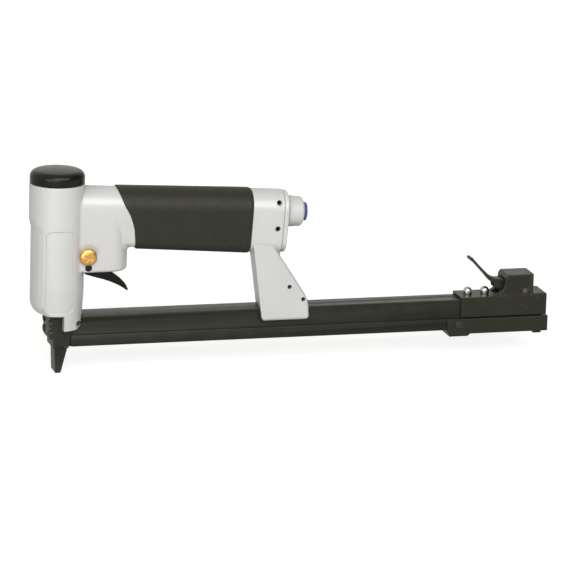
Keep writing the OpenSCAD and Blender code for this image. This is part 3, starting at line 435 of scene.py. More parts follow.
def finish_of(name, colour, rough, metal=0.0, spread=0.05, spread_size=60, rough_spread=0.08,
              grain=0.05, grain_size=900, stretch=(1, 1, 1), coat=0.0, edge=0.0, cells=0.0, cell_size=700,
              specular=0.5, tint=(1, 1, 1), painted_shade=0.0):
    """A shader with mottled colour and roughness, fine grain, and optional cell grain, brighter edges and
    darker painted shade in crevices."""
    mat = bpy.data.materials.new(name)
    mat.use_nodes = True
    tree = mat.node_tree
    add = node_maker(tree)
    where = add("ShaderNodeTexCoord", {})
    mapping = add("ShaderNodeMapping", {"Vector": where.outputs["Object"], "Scale": stretch})
    spot = mapping.outputs["Vector"]

    def noise(size, detail):
        return add("ShaderNodeTexNoise", {"Vector": spot, "Scale": size, "Detail": detail}).outputs["Fac"]

    mottle = noise(spread_size, 4)
    ramp = add("ShaderNodeValToRGB", {"Fac": mottle})
    first, last = ramp.color_ramp.elements
    first.position, last.position = MOTTLE_RANGE
    first.color = tuple(c * (1 - spread) for c in colour) + (1,)
    last.color = tuple(min(c * (1 + spread), 1) for c in colour) + (1,)
    paint = ramp.outputs["Color"]
    if edge:
        point = add("ShaderNodeNewGeometry", {})
        worn = add("ShaderNodeValToRGB", {"Fac": point.outputs["Pointiness"]})
        first, last = worn.color_ramp.elements
        first.position, last.position = WORN_RANGE
        patch = add("ShaderNodeMath", {0: worn.outputs["Color"], 1: mottle}, operation="MULTIPLY")
        bright = tuple(min(c + edge, 1) for c in colour) + (1,)
        mix = add("ShaderNodeMix", {"Factor": patch.outputs["Value"], "A": paint, "B": bright},
            data_type="RGBA")
        paint = mix.outputs["Result"]
    # Painted shade: the colour is darkened in corners and creases, where ambient occlusion finds them
    if painted_shade:
        near = add("ShaderNodeAmbientOcclusion", {"Distance": PAINTED_SHADE_REACH}, samples=8)
        shade = add("ShaderNodeMapRange", {"Value": near.outputs["AO"], "From Min": PAINTED_SHADE_RANGE[0],
            "From Max": PAINTED_SHADE_RANGE[1], "To Min": 1 - painted_shade})
        dim = add("ShaderNodeVectorMath", {0: paint, "Scale": shade.outputs["Result"]}, operation="SCALE")
        paint = dim.outputs["Vector"]
    gloss = add("ShaderNodeMapRange", {"Value": noise(spread_size * 2.3, 3),
        "To Min": max(rough - rough_spread, 0.02), "To Max": rough + rough_spread})
    bump = add("ShaderNodeBump", {"Height": noise(grain_size, 2), "Strength": grain, "Distance": GRAIN_DEPTH})
    normal = bump.outputs["Normal"]
    if cells:
        cell = add("ShaderNodeTexVoronoi", {"Vector": spot, "Scale": cell_size}, feature="DISTANCE_TO_EDGE")
        pebble = add("ShaderNodeBump", {"Height": cell.outputs["Distance"], "Normal": normal,
            "Strength": cells, "Distance": CELL_DEPTH})
        normal = pebble.outputs["Normal"]
    fill(tree, tree.nodes["Principled BSDF"], {"Base Color": paint, "Roughness": gloss.outputs["Result"],
        "Normal": normal, "Metallic": metal, "Coat Weight": coat, "Coat Roughness": COAT_ROUGH,
        "Specular IOR Level": specular, "Specular Tint": tint + (1,)})
    return mat


SILVER = linear(212, 212, 210)
WARM = (1, 0.96, 0.84)
looks = {
    # The silver paint's colour carries painted shade in its corners and creases
    "silver_casting": finish_of("silver paint", SILVER, 0.38, metal=0.12, spread=0.02, spread_size=45,
        rough_spread=0.05, grain=0.10, grain_size=2600, painted_shade=0.5),
    "black_gloss": finish_of("black gloss", linear(17, 18, 14), 0.26, specular=0.22, tint=WARM, spread=0.2,
        spread_size=120, rough_spread=0.07, grain=0.04, coat=0.05),
    "seal_rubber": finish_of("seal rubber", linear(40, 36, 33), 0.55, grain=0.1),
    "grip_rubber": finish_of("grip rubber", linear(26, 29, 21), 0.5, specular=0.42, tint=WARM, spread=0.22,
        spread_size=420, rough_spread=0.1, grain=0.25, grain_size=1500, cells=0.55, cell_size=620),
    "valve_plastic": finish_of("valve plastic", linear(70, 70, 70), 0.5, grain=0.1),
    "bright_steel": finish_of("bright steel", (0.58, 0.58, 0.59), 0.28, metal=1.0, spread=0.06,
        grain=0.15, grain_size=500, stretch=(0.15, 1, 1)),
    "dark_steel": finish_of("dark steel", linear(44, 44, 42), 0.42, metal=0.4, spread=0.15, grain=0.12,
        edge=0.06),
    "black_steel": finish_of("black steel", linear(38, 39, 32), 0.36, specular=0.3, tint=WARM, spread=0.12,
        spread_size=70, grain=0.10, grain_size=1400, edge=0.05),
    "turned_aluminium": finish_of("turned aluminium", (0.68, 0.68, 0.69), 0.32, metal=1.0, spread=0.04,
        grain=0.15, grain_size=300, stretch=(1, 1, 6)),
    "chrome": finish_of("chrome", (0.5, 0.5, 0.5), 0.12, metal=1.0, spread=0.03, rough_spread=0.04,
        grain=0.02),
    "brass": finish_of("brass", (0.78, 0.46, 0.14), 0.34, metal=0.9, spread=0.25, spread_size=420,
        rough_spread=0.1, grain=0.12),
    "blue_plastic": finish_of("blue plastic", linear(62, 84, 142), 0.35, spread=0.08, grain=0.06),
}
# Finishes of single pieces that differ from their slot's; the channel's darker colour is painted shade
# The matt silver's colour also carries painted shade in its corners
matt_silver = finish_of("matt silver", SILVER, 0.55, metal=0.05, specular=0.3, spread=0.02, grain=0.1,
    painted_shade=0.4)
# Painted shade: a darker copy of the black steel for rail and slide, against the floor's bounce light on
# their sides
shaded_channel = finish_of("dark channel", linear(22, 23, 17), 0.38, specular=0.31, tint=WARM, spread=0.12,
    spread_size=70, grain=0.10, grain_size=1400, edge=0.05)
dull_pin = finish_of("dull pin", linear(96, 84, 62), 0.5, metal=0.5, spread=0.2, grain=0.1)
dark_pin = finish_of("dark pin", linear(24, 23, 22), 0.4, specular=0.3, spread=0.2, grain=0.1)
own_look = {"latch_pin": dull_pin, "trigger_pin": dark_pin}
slot_of = {s["node"]: s["material_slot"] for s in frame["record"]["subparts"]}
for name, node in frame["nodes"].items():
    for slot in node.material_slots:
        slot.material = own_look.get(name, looks[slot_of[name]])


# Casting: head, boss, handle and leg

def in_handle(x, z):
    c, s = math.cos(TILT), math.sin(TILT)
    return x * c - (z - HANDLE_Z) * s, x * s + (z - HANDLE_Z) * c


# Lower corners of neck, grip and rear ring: their rounding, and how far the flat bottom is lifted
NECK_LOW, GRIP_LOW, RING_LOW = (4.5, 2.2), (6.0, 2.0), (9.5, 1.2)
# The neck's sides lean in downwards, fully this far ahead of the grip and by a share of it at the grip
NECK_LEAN, LEAN_SOFT, NECK_WIDENS, LEAN_LEFT = 0.175, 3.0, 10.0, 0.3
# How far the grip's front edge departs from its leaning line, by height
EDGE_W = [-25, -18, -12, -7, -3, 2, 5, 7, 10, 13, 18, 23]
EDGE_SHIFT = [0.8, 1.5, 2.4, 3.0, 2.85, 2.27, 1.5, 0.8, -0.3, -1.1, -1.95, -2.55]


def section(y, w, r, rise, low, lean=0.0):
    """The handle's outside, with a round top, sides that lean in downwards, and a flat, lifted bottom between
    rounded corners."""
    round_r, lift = low
    inset = lean * (hyp(w, LEAN_SOFT) - w) / 2
    top = hyp(y, np.maximum(w - rise, 0)) - r + inset
    side = np.abs(y) - r + inset
    return np.where(w > 0, top, join_max(side, -w - rise - r + lift, round_r))


def grip_edge(w):
    """Where the grip begins along the handle, a curve that leans forward at the top."""
    return GRIP_U0 - w * math.tan(LEAN) + np.interp(w, EDGE_W, EDGE_SHIFT)


def stadium(y, w):
    return hyp(y, np.maximum(np.abs(w) - HANDLE_RISE, 0))


# Head: the bowed front face and its groove, the barrel's taper, the panel on each side and the skirt
FACE_X, FACE_TOP, FACE_BOW, FACE_RISE = 18.4, 107.0, 25.7, 0.26
FACE_ROUND, FACE_DROP, FRONT_X, FRONT_RUN = 11.0, 2.0, -7.0, 6.0
GROOVE_R, GROOVE_OUT, GROOVE_RUN = 0.4, 0.05, 6.0
HEAD_EDGE, TAPER, TAPER_TOP, TAPER_RUN = 0.8, 0.9, 62.0, 18.0
PANEL_X, PANEL_Z, PANEL_ROUND, PANEL_DEPTH, PANEL_Y = (-11.0, 9.3), (46.8, 107.0), 4.5, 0.45, 8.0
SKIRT_FRONT, SKIRT_LOW, SKIRT_TOP = 2.5, 33.4, 45.4
SKIRT_EDGE, SKIRT_ROUND, SKIRT_TURN, SKIRT_RUN = 0.5, 3.0, 11.0, 6.0
# Boss, leg and the fillets under the handle
BOSS_REAR, BOSS_HALF, BOSS_ROUND = 51.4, 14.4, 13.5
BOSS_LOW, BOSS_TOP, BOSS_EDGE = 74.8, 120.5, 2.4
LEG_HALF, LEG_LEAD, LEG_SKEW, LEG_ROUND, LEG_TOP = 14.5, 0.8, 0.12, 3.0, 98.0
LEG_FRONT_EDGE, LEG_EDGE = 1.2, 0.8
LEG_LINES = [((142.4, 95.5), (151.1, 33.6)), ((151.1, 33.6), (186.3, 33.6)),
    ((186.3, 33.6), (185.2, 48.7)), ((185.2, 48.7), (162.5, 83.1))]
FILLET, FILLET_FROM, HEAD_FILLET, RING_FILLET = 4.0, 13.0, 0.9, 0.3
NECK_EDGE, RING_EDGE = 0.5, 0.7
# Grip's seat on the handle, and the dish above the retaining screw
SEAT_R, SEAT_GAP, SLEEVE_R, SLEEVE_ROOM = 12.6, 0.2, 12.62, 21.0
DISH_DEPTH, DISH_R, DISH_RUN, DISH_LOW, DISH_RISE = 0.7, 6.6, 3.4, 3.0, 7.0
DISH_X, DISH_Y = 12.0, -8.0
# Pin holes, their countersinks and the depth of the painted skin
LEG_PINS, LEG_PIN_HOLE = [(170.46, 58.67), (181.02, 49.0)], 1.45
END_PINS, END_PIN_HOLE = [(160.9, INLET_W - 10.6), (160.9, INLET_W + 8.2)], 1.65
TRIGGER_PIN_HOLE, COUNTERSINK, END_COUNTERSINK, SKIN = 2.35, 0.35, 0.9, 0.8
# Bores and slots
CYLINDER_R, CYLINDER_LOW, CAP_BORE_R, CAP_BORE_LOW = 14.2, 54.0, 17.0, 118.0
DRIVER_SLOT, DRIVER_SPAN = (1.3, 6.9), (33.0, 55.0)
FORK_HALF, FORK_TOP, FORK_FRONT = 5.95, 63.85, 152.3
AIR_R, AIR_SPAN, END_BORE_R, END_BORE_FROM = 9.8, (22.0, 146.0), 12.05, 145.0
DUCT_R, DUCT_Z, DUCT_SPAN = 4.0, 124.5, (10.0, 28.0)
TRIGGER_SLOT, TRIGGER_SLOT_HALF, TRIGGER_SLOT_Z = (16.1, 46.0), 6.0, (70.0, 83.6)
SCREW_HOLE_R, SCREW_HOLE_Y, VALVE_BORE_R, VALVE_BORE_LOW = 2.45, -4.7, 6.55, 82.6
CUT_EDGE = 0.45


def line_side(x, z, p, q):
    """Distance to the right-hand side of the line from p to q."""
    dx, dz = q[0] - p[0], q[1] - p[1]
    return ((x - p[0]) * dz - (z - p[1]) * dx) / math.hypot(dx, dz)


def head_field(x, y, z):
    radius = HEAD_R - TAPER * step_up((TAPER_TOP - z) / TAPER_RUN)
    barrel = hyp(x, y) - radius
    # The bowed front runs out into the barrel at its top, with a fine groove along its edge
    shift = FACE_RISE * np.maximum(z - FACE_TOP, 0)
    bow = hyp(x - FACE_BOW + FACE_X + shift, y) - FACE_BOW
    groove = GROOVE_R - hyp(barrel - GROOVE_OUT, bow - GROOVE_OUT) - np.maximum(z - FACE_TOP - GROOVE_RUN, 0)
    body = most(barrel, bow, groove)
    # The floor drops a little at the front, where a wide rounding leads up to the face
    forward = step_up((FRONT_X - x) / FRONT_RUN)
    edge = HEAD_EDGE + (FACE_ROUND - HEAD_EDGE) * forward
    body = join_max(body, HEAD_FLOOR - FACE_DROP * forward - z, edge)
    pad_x, pad_z = middle_half(x, *PANEL_X), middle_half(z, *PANEL_Z)
    pad = hyp(np.maximum(pad_x + PANEL_ROUND, 0), np.maximum(pad_z + PANEL_ROUND, 0)) - PANEL_ROUND
    pad = pad + np.minimum(np.maximum(pad_x + PANEL_ROUND, pad_z + PANEL_ROUND), 0)
    body = body + np.where(np.abs(y) > PANEL_Y, PANEL_DEPTH * step_up(0.5 - pad / PANEL_DEPTH), 0)
    body = join_max(body, z - HEAD_TOP, HEAD_EDGE)
    edge = SKIRT_EDGE + SKIRT_ROUND * step_up((x - SKIRT_TURN) / SKIRT_RUN)
    skirt = most(join_max(barrel, SKIRT_LOW - z, edge), SKIRT_FRONT - x, z - SKIRT_TOP)
    return np.minimum(body, skirt)


def casting_field(x, y, z):
    ay = np.abs(y)
    u, w = in_handle(x, z)
    q = stadium(y, w)
    ahead = (u - grip_edge(w)) * math.cos(LEAN)
    # The neck is narrow behind the boss and widens again towards the grip
    lean = NECK_LEAN * np.interp(-ahead, [0, NECK_WIDENS], [LEAN_LEFT, 1])
    neck = section(y, w, HANDLE_R, HANDLE_RISE, NECK_LOW, lean)
    neck = most(join_max(neck, ahead, NECK_EDGE), -u)
    seat = most(q - SEAT_R, u - HANDLE_END + SEAT_GAP, -u)
    rear = join_max(section(y, w, HANDLE_R, RING_RISE, RING_LOW), span(u, GRIP_U1, HANDLE_END), RING_EDGE)
    boss = join_max(x - BOSS_REAR, ay - BOSS_HALF, BOSS_ROUND)
    boss = most(join_max(boss, BOSS_LOW - z, BOSS_EDGE), z - BOSS_TOP, -x)
    # The leg's front face runs back a little towards the far side
    leg = line_side(x + LEG_LEAD - LEG_SKEW * (y + LEG_HALF), z, *LEG_LINES[0])
    leg = join_max(leg, ay - LEG_HALF, LEG_FRONT_EDGE)
    for edge in LEG_LINES[1:]:
        leg = join_max(leg, line_side(x, z, *edge), LEG_ROUND)
    leg = most(join_max(leg, ay - LEG_HALF, LEG_EDGE), z - LEG_TOP)
    # Fillets under the handle run out towards its flush sides
    fillet = np.clip(FILLET_FROM - ay, 0, FILLET)
    body = join_min(np.minimum(neck, seat), boss, fillet)
    body = join_min(body, join_min(rear, leg, fillet), RING_FILLET)
    body = join_min(body, head_field(x, y, z), HEAD_FILLET)
    sleeve_room = most(SLEEVE_R - q, q - SLEEVE_ROOM, -ahead, u - GRIP_U1)
    body = np.maximum(body, -sleeve_room)
    # A shallow dish above the retaining screw
    dish = DISH_DEPTH * (1 - step_up((hyp(x - SCREW_X, z - SCREW_Z) - DISH_R) / DISH_RUN))
    dish = dish * step_up((z - SCREW_Z + DISH_LOW) / DISH_RISE)
    body = body + np.where((y < DISH_Y) & (x > DISH_X), dish, 0)
    skin = np.clip(body + SKIN, 0, SKIN)
    # Openings with a small countersink at the painted surface
    holes = [(px, pz, LEG_PIN_HOLE) for px, pz in LEG_PINS]
    holes += [(FRONT_SCREW_X, FRONT_SCREW_Z, FRONT_SCREW_R), (PIN_X, PIN_Z, TRIGGER_PIN_HOLE)]
    for px, pz, r in holes:
        body = np.maximum(body, r + COUNTERSINK * skin - hyp(x - px, z - pz))
    for pu, pw in END_PINS:
        body = np.maximum(body, END_PIN_HOLE + END_COUNTERSINK * skin - hyp(u - pu, w - pw))
    cuts = [
        most(hyp(x, y) - CYLINDER_R, CYLINDER_LOW - z),
        most(hyp(x, y) - CAP_BORE_R, CAP_BORE_LOW - z),
        most(np.abs(x) - DRIVER_SLOT[0], ay - DRIVER_SLOT[1], span(z, *DRIVER_SPAN)),
        most(x - (NOSE_REAR + FIT), ay - (NOSE_HALF + FIT), z - HEAD_FLOOR),
        most(ay - (RAIL_HALF + FIT), z - (RAIL_TOP + FIT), -x),
        most(ay - FORK_HALF, z - FORK_TOP, FORK_FRONT - x),
        most(q - AIR_R, span(u, *AIR_SPAN)),
        most(hyp(y, w - INLET_W) - END_BORE_R, END_BORE_FROM - u),
        most(hyp(y, z - DUCT_Z) - DUCT_R, span(x, *DUCT_SPAN)),
        most(span(x, *TRIGGER_SLOT), ay - TRIGGER_SLOT_HALF, span(z, *TRIGGER_SLOT_Z)),
        most(hyp(x - SCREW_X, z - SCREW_Z) - SCREW_HOLE_R, y - SCREW_HOLE_Y),
        most(hyp(x - VALVE_X, y) - VALVE_BORE_R, span(z, VALVE_BORE_LOW, HANDLE_Z)),
    ]
    for hollow in cuts:
        body = join_max(body, -hollow, CUT_EDGE)
    return body


# The grid's step and box, and the share of its faces that is kept
CASTING_STEP = 0.62
CASTING_BOX, CASTING_KEEP = ((-20.6, -20.6, 33), (188, 20.6, 139.6)), 0.2
casting = field_mesh(casting_field, *CASTING_BOX, CASTING_STEP, CASTING_KEEP)
piece("casting", casting, "silver_casting", "tool_body", "housing")


# Head cap, with a rounded edge and a low dome

def arc_points(ca, cb, r, a0, a1, steps):
    angles = [math.radians(a0 + (a1 - a0) * k / steps) for k in range(steps + 1)]
    return [(ca + r * math.cos(a), cb + r * math.sin(a)) for a in angles]


UP = about(0, 0, 0, (0, 0, 1))
DOME_TOP, DOME_DROP, DOME_R = 149.5, 0.95, 15.2
CAP_PROFILE = [(0, 142.5), (13.58, 142.5), (13.58, 130), (16.95, 130), (16.95, 133.55), (15.15, 133.55),
    (15.15, 135.45), (16.95, 135.45), (16.95, 139.05), (19.4, 139.05), (19.75, 139.4)]
CAP_PROFILE += arc_points(14.8, 143.55, 5.0, 0, 80, 12)
CAP_PROFILE += [(r, DOME_TOP - DOME_DROP * (r / DOME_R) ** 2) for r in (11.5, 8, 4, 0)]
piece("head_cap", lathe(CAP_PROFILE, UP, 128), "black_gloss", "tool_body", "top_cap")


# Grip sleeve on the handle

def to_world(u, y, w):
    c, s = math.cos(TILT), math.sin(TILT)
    return (u * c + w * s, y, HANDLE_Z - u * s + w * c)


def ring_points(r, n):
    """Points round the handle's tall section, evenly spaced from the top."""
    rise = HANDLE_RISE
    straight, bend = 2 * rise, math.pi * r
    length = 2 * (straight + bend)
    out = []
    for k in range(n):
        d = (k / n * length + bend / 2) % length
        if d < bend:
            a = math.pi - d / r
            out.append((r * math.cos(a), rise + r * math.sin(a)))
        elif d < bend + straight:
            out.append((r, rise - (d - bend)))
        elif d < 2 * bend + straight:
            a = (d - bend - straight) / r
            out.append((r * math.cos(a), -rise - r * math.sin(a)))
        else:
            out.append((-r, -rise + (d - 2 * bend - straight)))
    return out


def section_points(r, n, rise, low):
    """Points round the handle's outside, evenly spaced from the top, the same way round."""
    round_r, lift = low
    line = arc_points(0, rise, r, 90, 0, 24)
    line += arc_points(r - round_r, lift + round_r - rise - r, round_r, 0, -90, 16)
    line += [(-a, b) for a, b in reversed(line)]
    line = np.array(line)
    run = np.concatenate([[0], np.cumsum(np.linalg.norm(np.diff(line, axis=0), axis=1))])
    places = np.linspace(0, run[-1], n, endpoint=False)
    return list(zip(np.interp(places, run, line[:, 0]), np.interp(places, run, line[:, 1])))


GRIP_R, GRIP_IN, GRIP_GROWTH = 15.2, 12.66, (0.2, 1.1)
GRIP_RINGS, GRIP_ROUND_PTS = 36, 120
# Gaps at the sleeve's ends, the front edge's rounding, and the rear edge's rounding inwards and along
FRONT_GAP, FRONT_ROUND, REAR_GAP, REAR_DROP, REAR_RUN = 0.06, 0.7, 0.1, 1.6, 1.8


def grip_sleeve():
    # Each ring: where it is measured from (0 front edge, 1 rear edge), its shift and its radius
    flat_r, rear_r = GRIP_R - FRONT_ROUND, GRIP_R - REAR_DROP
    rings = [(0, FRONT_GAP, GRIP_IN), (0, FRONT_GAP, flat_r)]
    for a in (0.5, 1.0, 1.57):
        rings.append((0, FRONT_GAP + FRONT_ROUND * (1 - math.cos(a)), flat_r + FRONT_ROUND * math.sin(a)))
    rings += [(k / GRIP_RINGS, 0, GRIP_R) for k in range(1, GRIP_RINGS)]
    for a in (0, 0.35, 0.7, 1.05, 1.4, 1.57):
        rings.append((1, REAR_RUN * math.sin(a) - REAR_RUN - REAR_GAP, rear_r + REAR_DROP * math.cos(a)))
    rings.append((1, -REAR_GAP, GRIP_IN))
    verts, faces = [], []
    n = GRIP_ROUND_PTS
    for t, shift, r in rings:
        rise = HANDLE_RISE + GRIP_GROWTH[0] + GRIP_GROWTH[1] * t
        for y, w in ring_points(r, n) if r == GRIP_IN else section_points(r, n, rise, GRIP_LOW):
            front = grip_edge(w)
            verts.append(to_world(front + (GRIP_U1 - front) * t + shift, y, w))
    for j in range(len(rings)):
        a, b = j * n, (j + 1) % len(rings) * n
        faces += [[a + i, a + (i + 1) % n, b + (i + 1) % n, b + i] for i in range(n)]
    return solid(verts, faces)


piece("grip", grip_sleeve(), "grip_rubber", "tool_body", "grip_sleeve", smooth=60)


# Trigger

TRIGGER_LOW = curve_through([(20.3, 71.5), (27.7, 69.1), (35.4, 66.8), (44.6, 62.8), (51.6, 58.3)])
TRIGGER_HIGH = curve_through([(52.6, 59.3), (50.4, 63.6), (47.8, 66.6), (44.3, 69.6), (41.1, 71.8),
    (38.2, 75.6)])
TRIGGER_LINE = TRIGGER_LOW + TRIGGER_HIGH + [(20.3, 75.6)]
TRIGGER_HALF, TRIGGER_INSET, TRIGGER_EDGE, EYE_R, EYE_HOLE_R = 5.5, 0.15, 1.1, 4.3, 2.38
# The blade narrows towards its tip
NARROWS_FROM, NARROWS, NARROWS_POWER = 40, 0.02, 1.2


def trigger_field(x, y, z):
    half = TRIGGER_HALF - NARROWS * np.maximum(x - NARROWS_FROM, 0) ** NARROWS_POWER
    from_pin = hyp(x - PIN_X, z - PIN_Z)
    blade = join_max(outline(x, z, TRIGGER_LINE) + TRIGGER_INSET, np.abs(y) - half, TRIGGER_EDGE)
    eye = join_max(from_pin - EYE_R, np.abs(y) - TRIGGER_HALF, 0.5)
    return join_max(join_min(blade, eye, 1.0), EYE_HOLE_R - from_pin, 0.3)


piece("finger_trigger", field_mesh(trigger_field, (16, -6, 57), (53.4, 6, 83.4), 0.4, 0.5),
    "black_gloss", "trigger", "trigger")


# Retaining screw of the trigger pin

CROSS_REACH, CROSS_HALF, CROSS_FLOOR, CROSS_TURN = 3.4, 0.65, 2.1, 0.32
screw_place = about(SCREW_X, SIDE_FACE, SCREW_Z, (0, -1, 0))
SCREW_PROFILE = [(0, -9), (2.4, -9), (2.4, -0.7), (6.0, -0.7), (6.3, -0.4), (6.3, 1.0)]
SCREW_PROFILE += [(6.1, 1.5), (5.4, 2.25), (4.2, 2.75), (2.6, 3.05), (0, 3.15)]
retainer = lathe(SCREW_PROFILE, screw_place, 64)
for turn in (CROSS_TURN, CROSS_TURN + math.pi / 2):
    c, s = math.cos(turn), math.sin(turn)
    arms = [(-CROSS_REACH, -CROSS_HALF), (CROSS_REACH, -CROSS_HALF)]
    arms += [(CROSS_REACH, CROSS_HALF), (-CROSS_REACH, CROSS_HALF)]
    cross = [(a * c - b * s, a * s + b * c) for a, b in arms]
    cut(retainer, extrude(cross, CROSS_FLOOR, 4, screw_place))
piece("retaining_screw", soften(retainer, 0.18), "brass", "tool_body", "pin_retaining_screw")


# Rear cap, air inlet and plug on the inlet's axis

def on_inlet(a, b, t):
    return to_world(t, a, INLET_W + b)


def on_handle(a, b, t):
    return to_world(t, a, b)


def across_handle(pu, pw):
    return lambda a, b, t: to_world(pu + a, t, pw + b)


FLANGE_R, FLANGE_END, SPIGOT_R, SPIGOT_SPAN, INLET_HOLE_R = 14.0, 168.65, 12, (147, 167), 7.95
ring_line = section_points(FLANGE_R, 96, RING_RISE, RING_LOW)
flange = extrude(ring_line, HANDLE_END + FIT, FLANGE_END, on_handle)
flange = merge(soften(flange, 0.7, 3), rod(SPIGOT_R, *SPIGOT_SPAN, on_inlet, 96))
cut(flange, rod(INLET_HOLE_R, 140, 175, on_inlet, 64))
for pin in END_PINS:
    cut(flange, rod(END_PIN_HOLE, -20, 20, across_handle(*pin)))
piece("rear_cap", flange, "silver_casting", "tool_body", "end_cap")

THREAD_CORE, THREAD_DEPTH, THREAD_STEP, THREAD_END = 5.72, 0.35, 0.65, 179.9
INLET_PROFILE = [(THREAD_CORE, 154.65), (7.5, 154.65), (7.9, 155.05), (7.9, 168.7), (10.4, 168.7),
    (10.4, 169.2), (11.3, 169.35), (11.6, 169.7), (10.9, 177.2)]
INLET_PROFILE += arc_points(8.2, 178.7, 2.7, 8, 90, 10)
INLET_PROFILE += [(7.2, 181.4), (6.88, 181.1), (6.88, 180.5), (THREAD_CORE, 180.5)]
for k in range(24):
    INLET_PROFILE.append((THREAD_CORE + THREAD_DEPTH * (k % 2), THREAD_END - THREAD_STEP * k))
inlet = piece("air_inlet", lathe(INLET_PROFILE, on_inlet, 96), "silver_casting", "tool_body", "inlet_bush")
inlet.data.materials[0] = matt_silver

PLUG_PROFILE = [(0, 180.5), (6.5, 180.5), (6.8, 180.8), (6.8, 183.9), (6.65, 184.2), (6.3, 184.3),
    (4.6, 184.3), (4.3, 184.1), (4.1, 183.55), (3.8, 183.35), (0, 183.35)]
piece("inlet_plug", lathe(PLUG_PROFILE, on_inlet, 72), "blue_plastic", "dust_plug", "dust_plug")


# Rolled pins, open along one side

PIN_STEPS, PIN_FROM, PIN_ARC = 30, 100, 340


def rolled_pin(r, wall, half, place):
    angles = [math.radians(PIN_FROM + PIN_ARC * k / PIN_STEPS) for k in range(PIN_STEPS + 1)]
    ring = [(r * math.cos(a), r * math.sin(a)) for a in angles]
    ring += [((r - wall) * math.cos(a), (r - wall) * math.sin(a)) for a in reversed(angles)]
    return soften(extrude(ring, -half, half, place), 0.12, 1)


def across(px, pz):
    return lambda a, b, t: (px + a, t, pz + b)


END_PIN_R, END_PIN_WALL, END_PIN_HALVES = 1.6, 0.45, [13.6, 10.0]
LEG_PIN_R, LEG_PIN_WALL, LEG_PIN_HALF = 1.4, 0.4, 10.9
end_pins = [rolled_pin(END_PIN_R, END_PIN_WALL, half, across_handle(*pin))
    for pin, half in zip(END_PINS, END_PIN_HALVES)]
piece("rear_cap_pins", gather(*end_pins), "dark_steel", "tool_body", "end_cap_pins")
leg_pins = [rolled_pin(LEG_PIN_R, LEG_PIN_WALL, LEG_PIN_HALF, across(*pin)) for pin in LEG_PINS]
piece("foot_pins", gather(*leg_pins), "dark_steel", "tool_body", "leg_pins")


# Nose

TIP_HALF, NOSE_FRONT, NOSE_LOW, PLATE_FRONT, PLATE_REAR = 7.5, -0.6, 20.4, -6.3, -0.65
DRIVER_HALF, CHANNEL_HALF, CHANNEL_Z, CHANNEL_FROM = 6.6, 6.7, (21, 40.9), -0.5
TAP_R, FIXING_X, FIXING_HEAD_R, FIXING_SEAT, CAP_SEAT, CAP_SEAT_R = 1.3, 6.2, 2.05, 22.05, 4.4, 2.85
GUIDE_LINE = [(NOSE_FRONT, 0), (2.3, 0), (3.0, 0.6), (7.9, 19.8), (7.9, 22), (NOSE_FRONT, 22)]
guide = extrude(GUIDE_LINE, -TIP_HALF, TIP_HALF, along_y)
guide = merge(guide, block(NOSE_FRONT, NOSE_REAR, -NOSE_HALF, NOSE_HALF, NOSE_LOW, NOSE_TOP))
cut(guide, block(-1.6, 0.6, -DRIVER_HALF, DRIVER_HALF, -1, 50),
    block(CHANNEL_FROM, 12, -CHANNEL_HALF, CHANNEL_HALF, *CHANNEL_Z))
for side in (-1, 1):
    for z in NOSE_SCREW_ROWS:
        cut(guide, rod(TAP_R, -5, 2.65, about(0, side * NOSE_SCREW_Y, z, (1, 0, 0)), 24))
    upward = about(FIXING_X, side * NOSE_SCREW_Y, 0, (0, 0, 1))
    cut(guide, rod(TAP_R, 18, 50, upward, 24))
    cut(guide, rod(FIXING_HEAD_R, 18, FIXING_SEAT, upward, 24))
piece("driver_guide", soften(guide, 0.28), "black_steel", "tool_body", "nosepiece")

PLATE_LINE = [(PLATE_FRONT, NOSE_TOP), (PLATE_FRONT, 25.8), (-3.4, 25.8), (-3.4, 19), (PLATE_REAR, 19),
    (PLATE_REAR, NOSE_TOP)]
TIP_LINE = [(-1.7, 20), (-0.95, 0), (PLATE_REAR, 0), (PLATE_REAR, 20)]
plate = extrude(PLATE_LINE, -NOSE_HALF, NOSE_HALF, along_y)
plate = merge(plate, extrude(TIP_LINE, -TIP_HALF, TIP_HALF, along_y))
for side in (-1, 1):
    for z in NOSE_SCREW_ROWS:
        cut(plate, rod(TAP_R, -8, 3, about(0, side * NOSE_SCREW_Y, z, (1, 0, 0)), 24))
        cut(plate, rod(CAP_SEAT_R, CAP_SEAT, 8, about(0, side * NOSE_SCREW_Y, z, (-1, 0, 0)), 48))
piece("guide_plate", soften(plate, 0.35), "black_steel", "tool_body", "nose_front_plate")

SCREW_HEAD_R, SCREW_HEAD, SCREW_SHANK_R, KNURL, KNURL_DEPTH = 2.6, 2.6, 1.25, 28, 0.12


def cap_screw(y, z):
    place = about(-CAP_SEAT, y, z, (-1, 0, 0))
    ring = []
    for k in range(2 * KNURL):
        r, a = SCREW_HEAD_R - KNURL_DEPTH * (k % 2), math.pi * k / KNURL
        ring.append((r * math.cos(a), r * math.sin(a)))
    head = extrude(ring, 0.0, SCREW_HEAD, place)
    head = merge(head, rod(SCREW_SHANK_R, -7, 0.5, place, 24))
    socket = rod(SCREW_SHANK_R, 1.2, 4, place, 6)
    return soften(cut(head, socket), 0.14, 1, 40)


cap_screws = [cap_screw(y, z) for y in (-NOSE_SCREW_Y, NOSE_SCREW_Y) for z in NOSE_SCREW_ROWS]
piece("guide_screws", gather(*cap_screws), "dark_steel", "tool_body", "nose_screws")


# Magazine rail and slide, as drawn sections

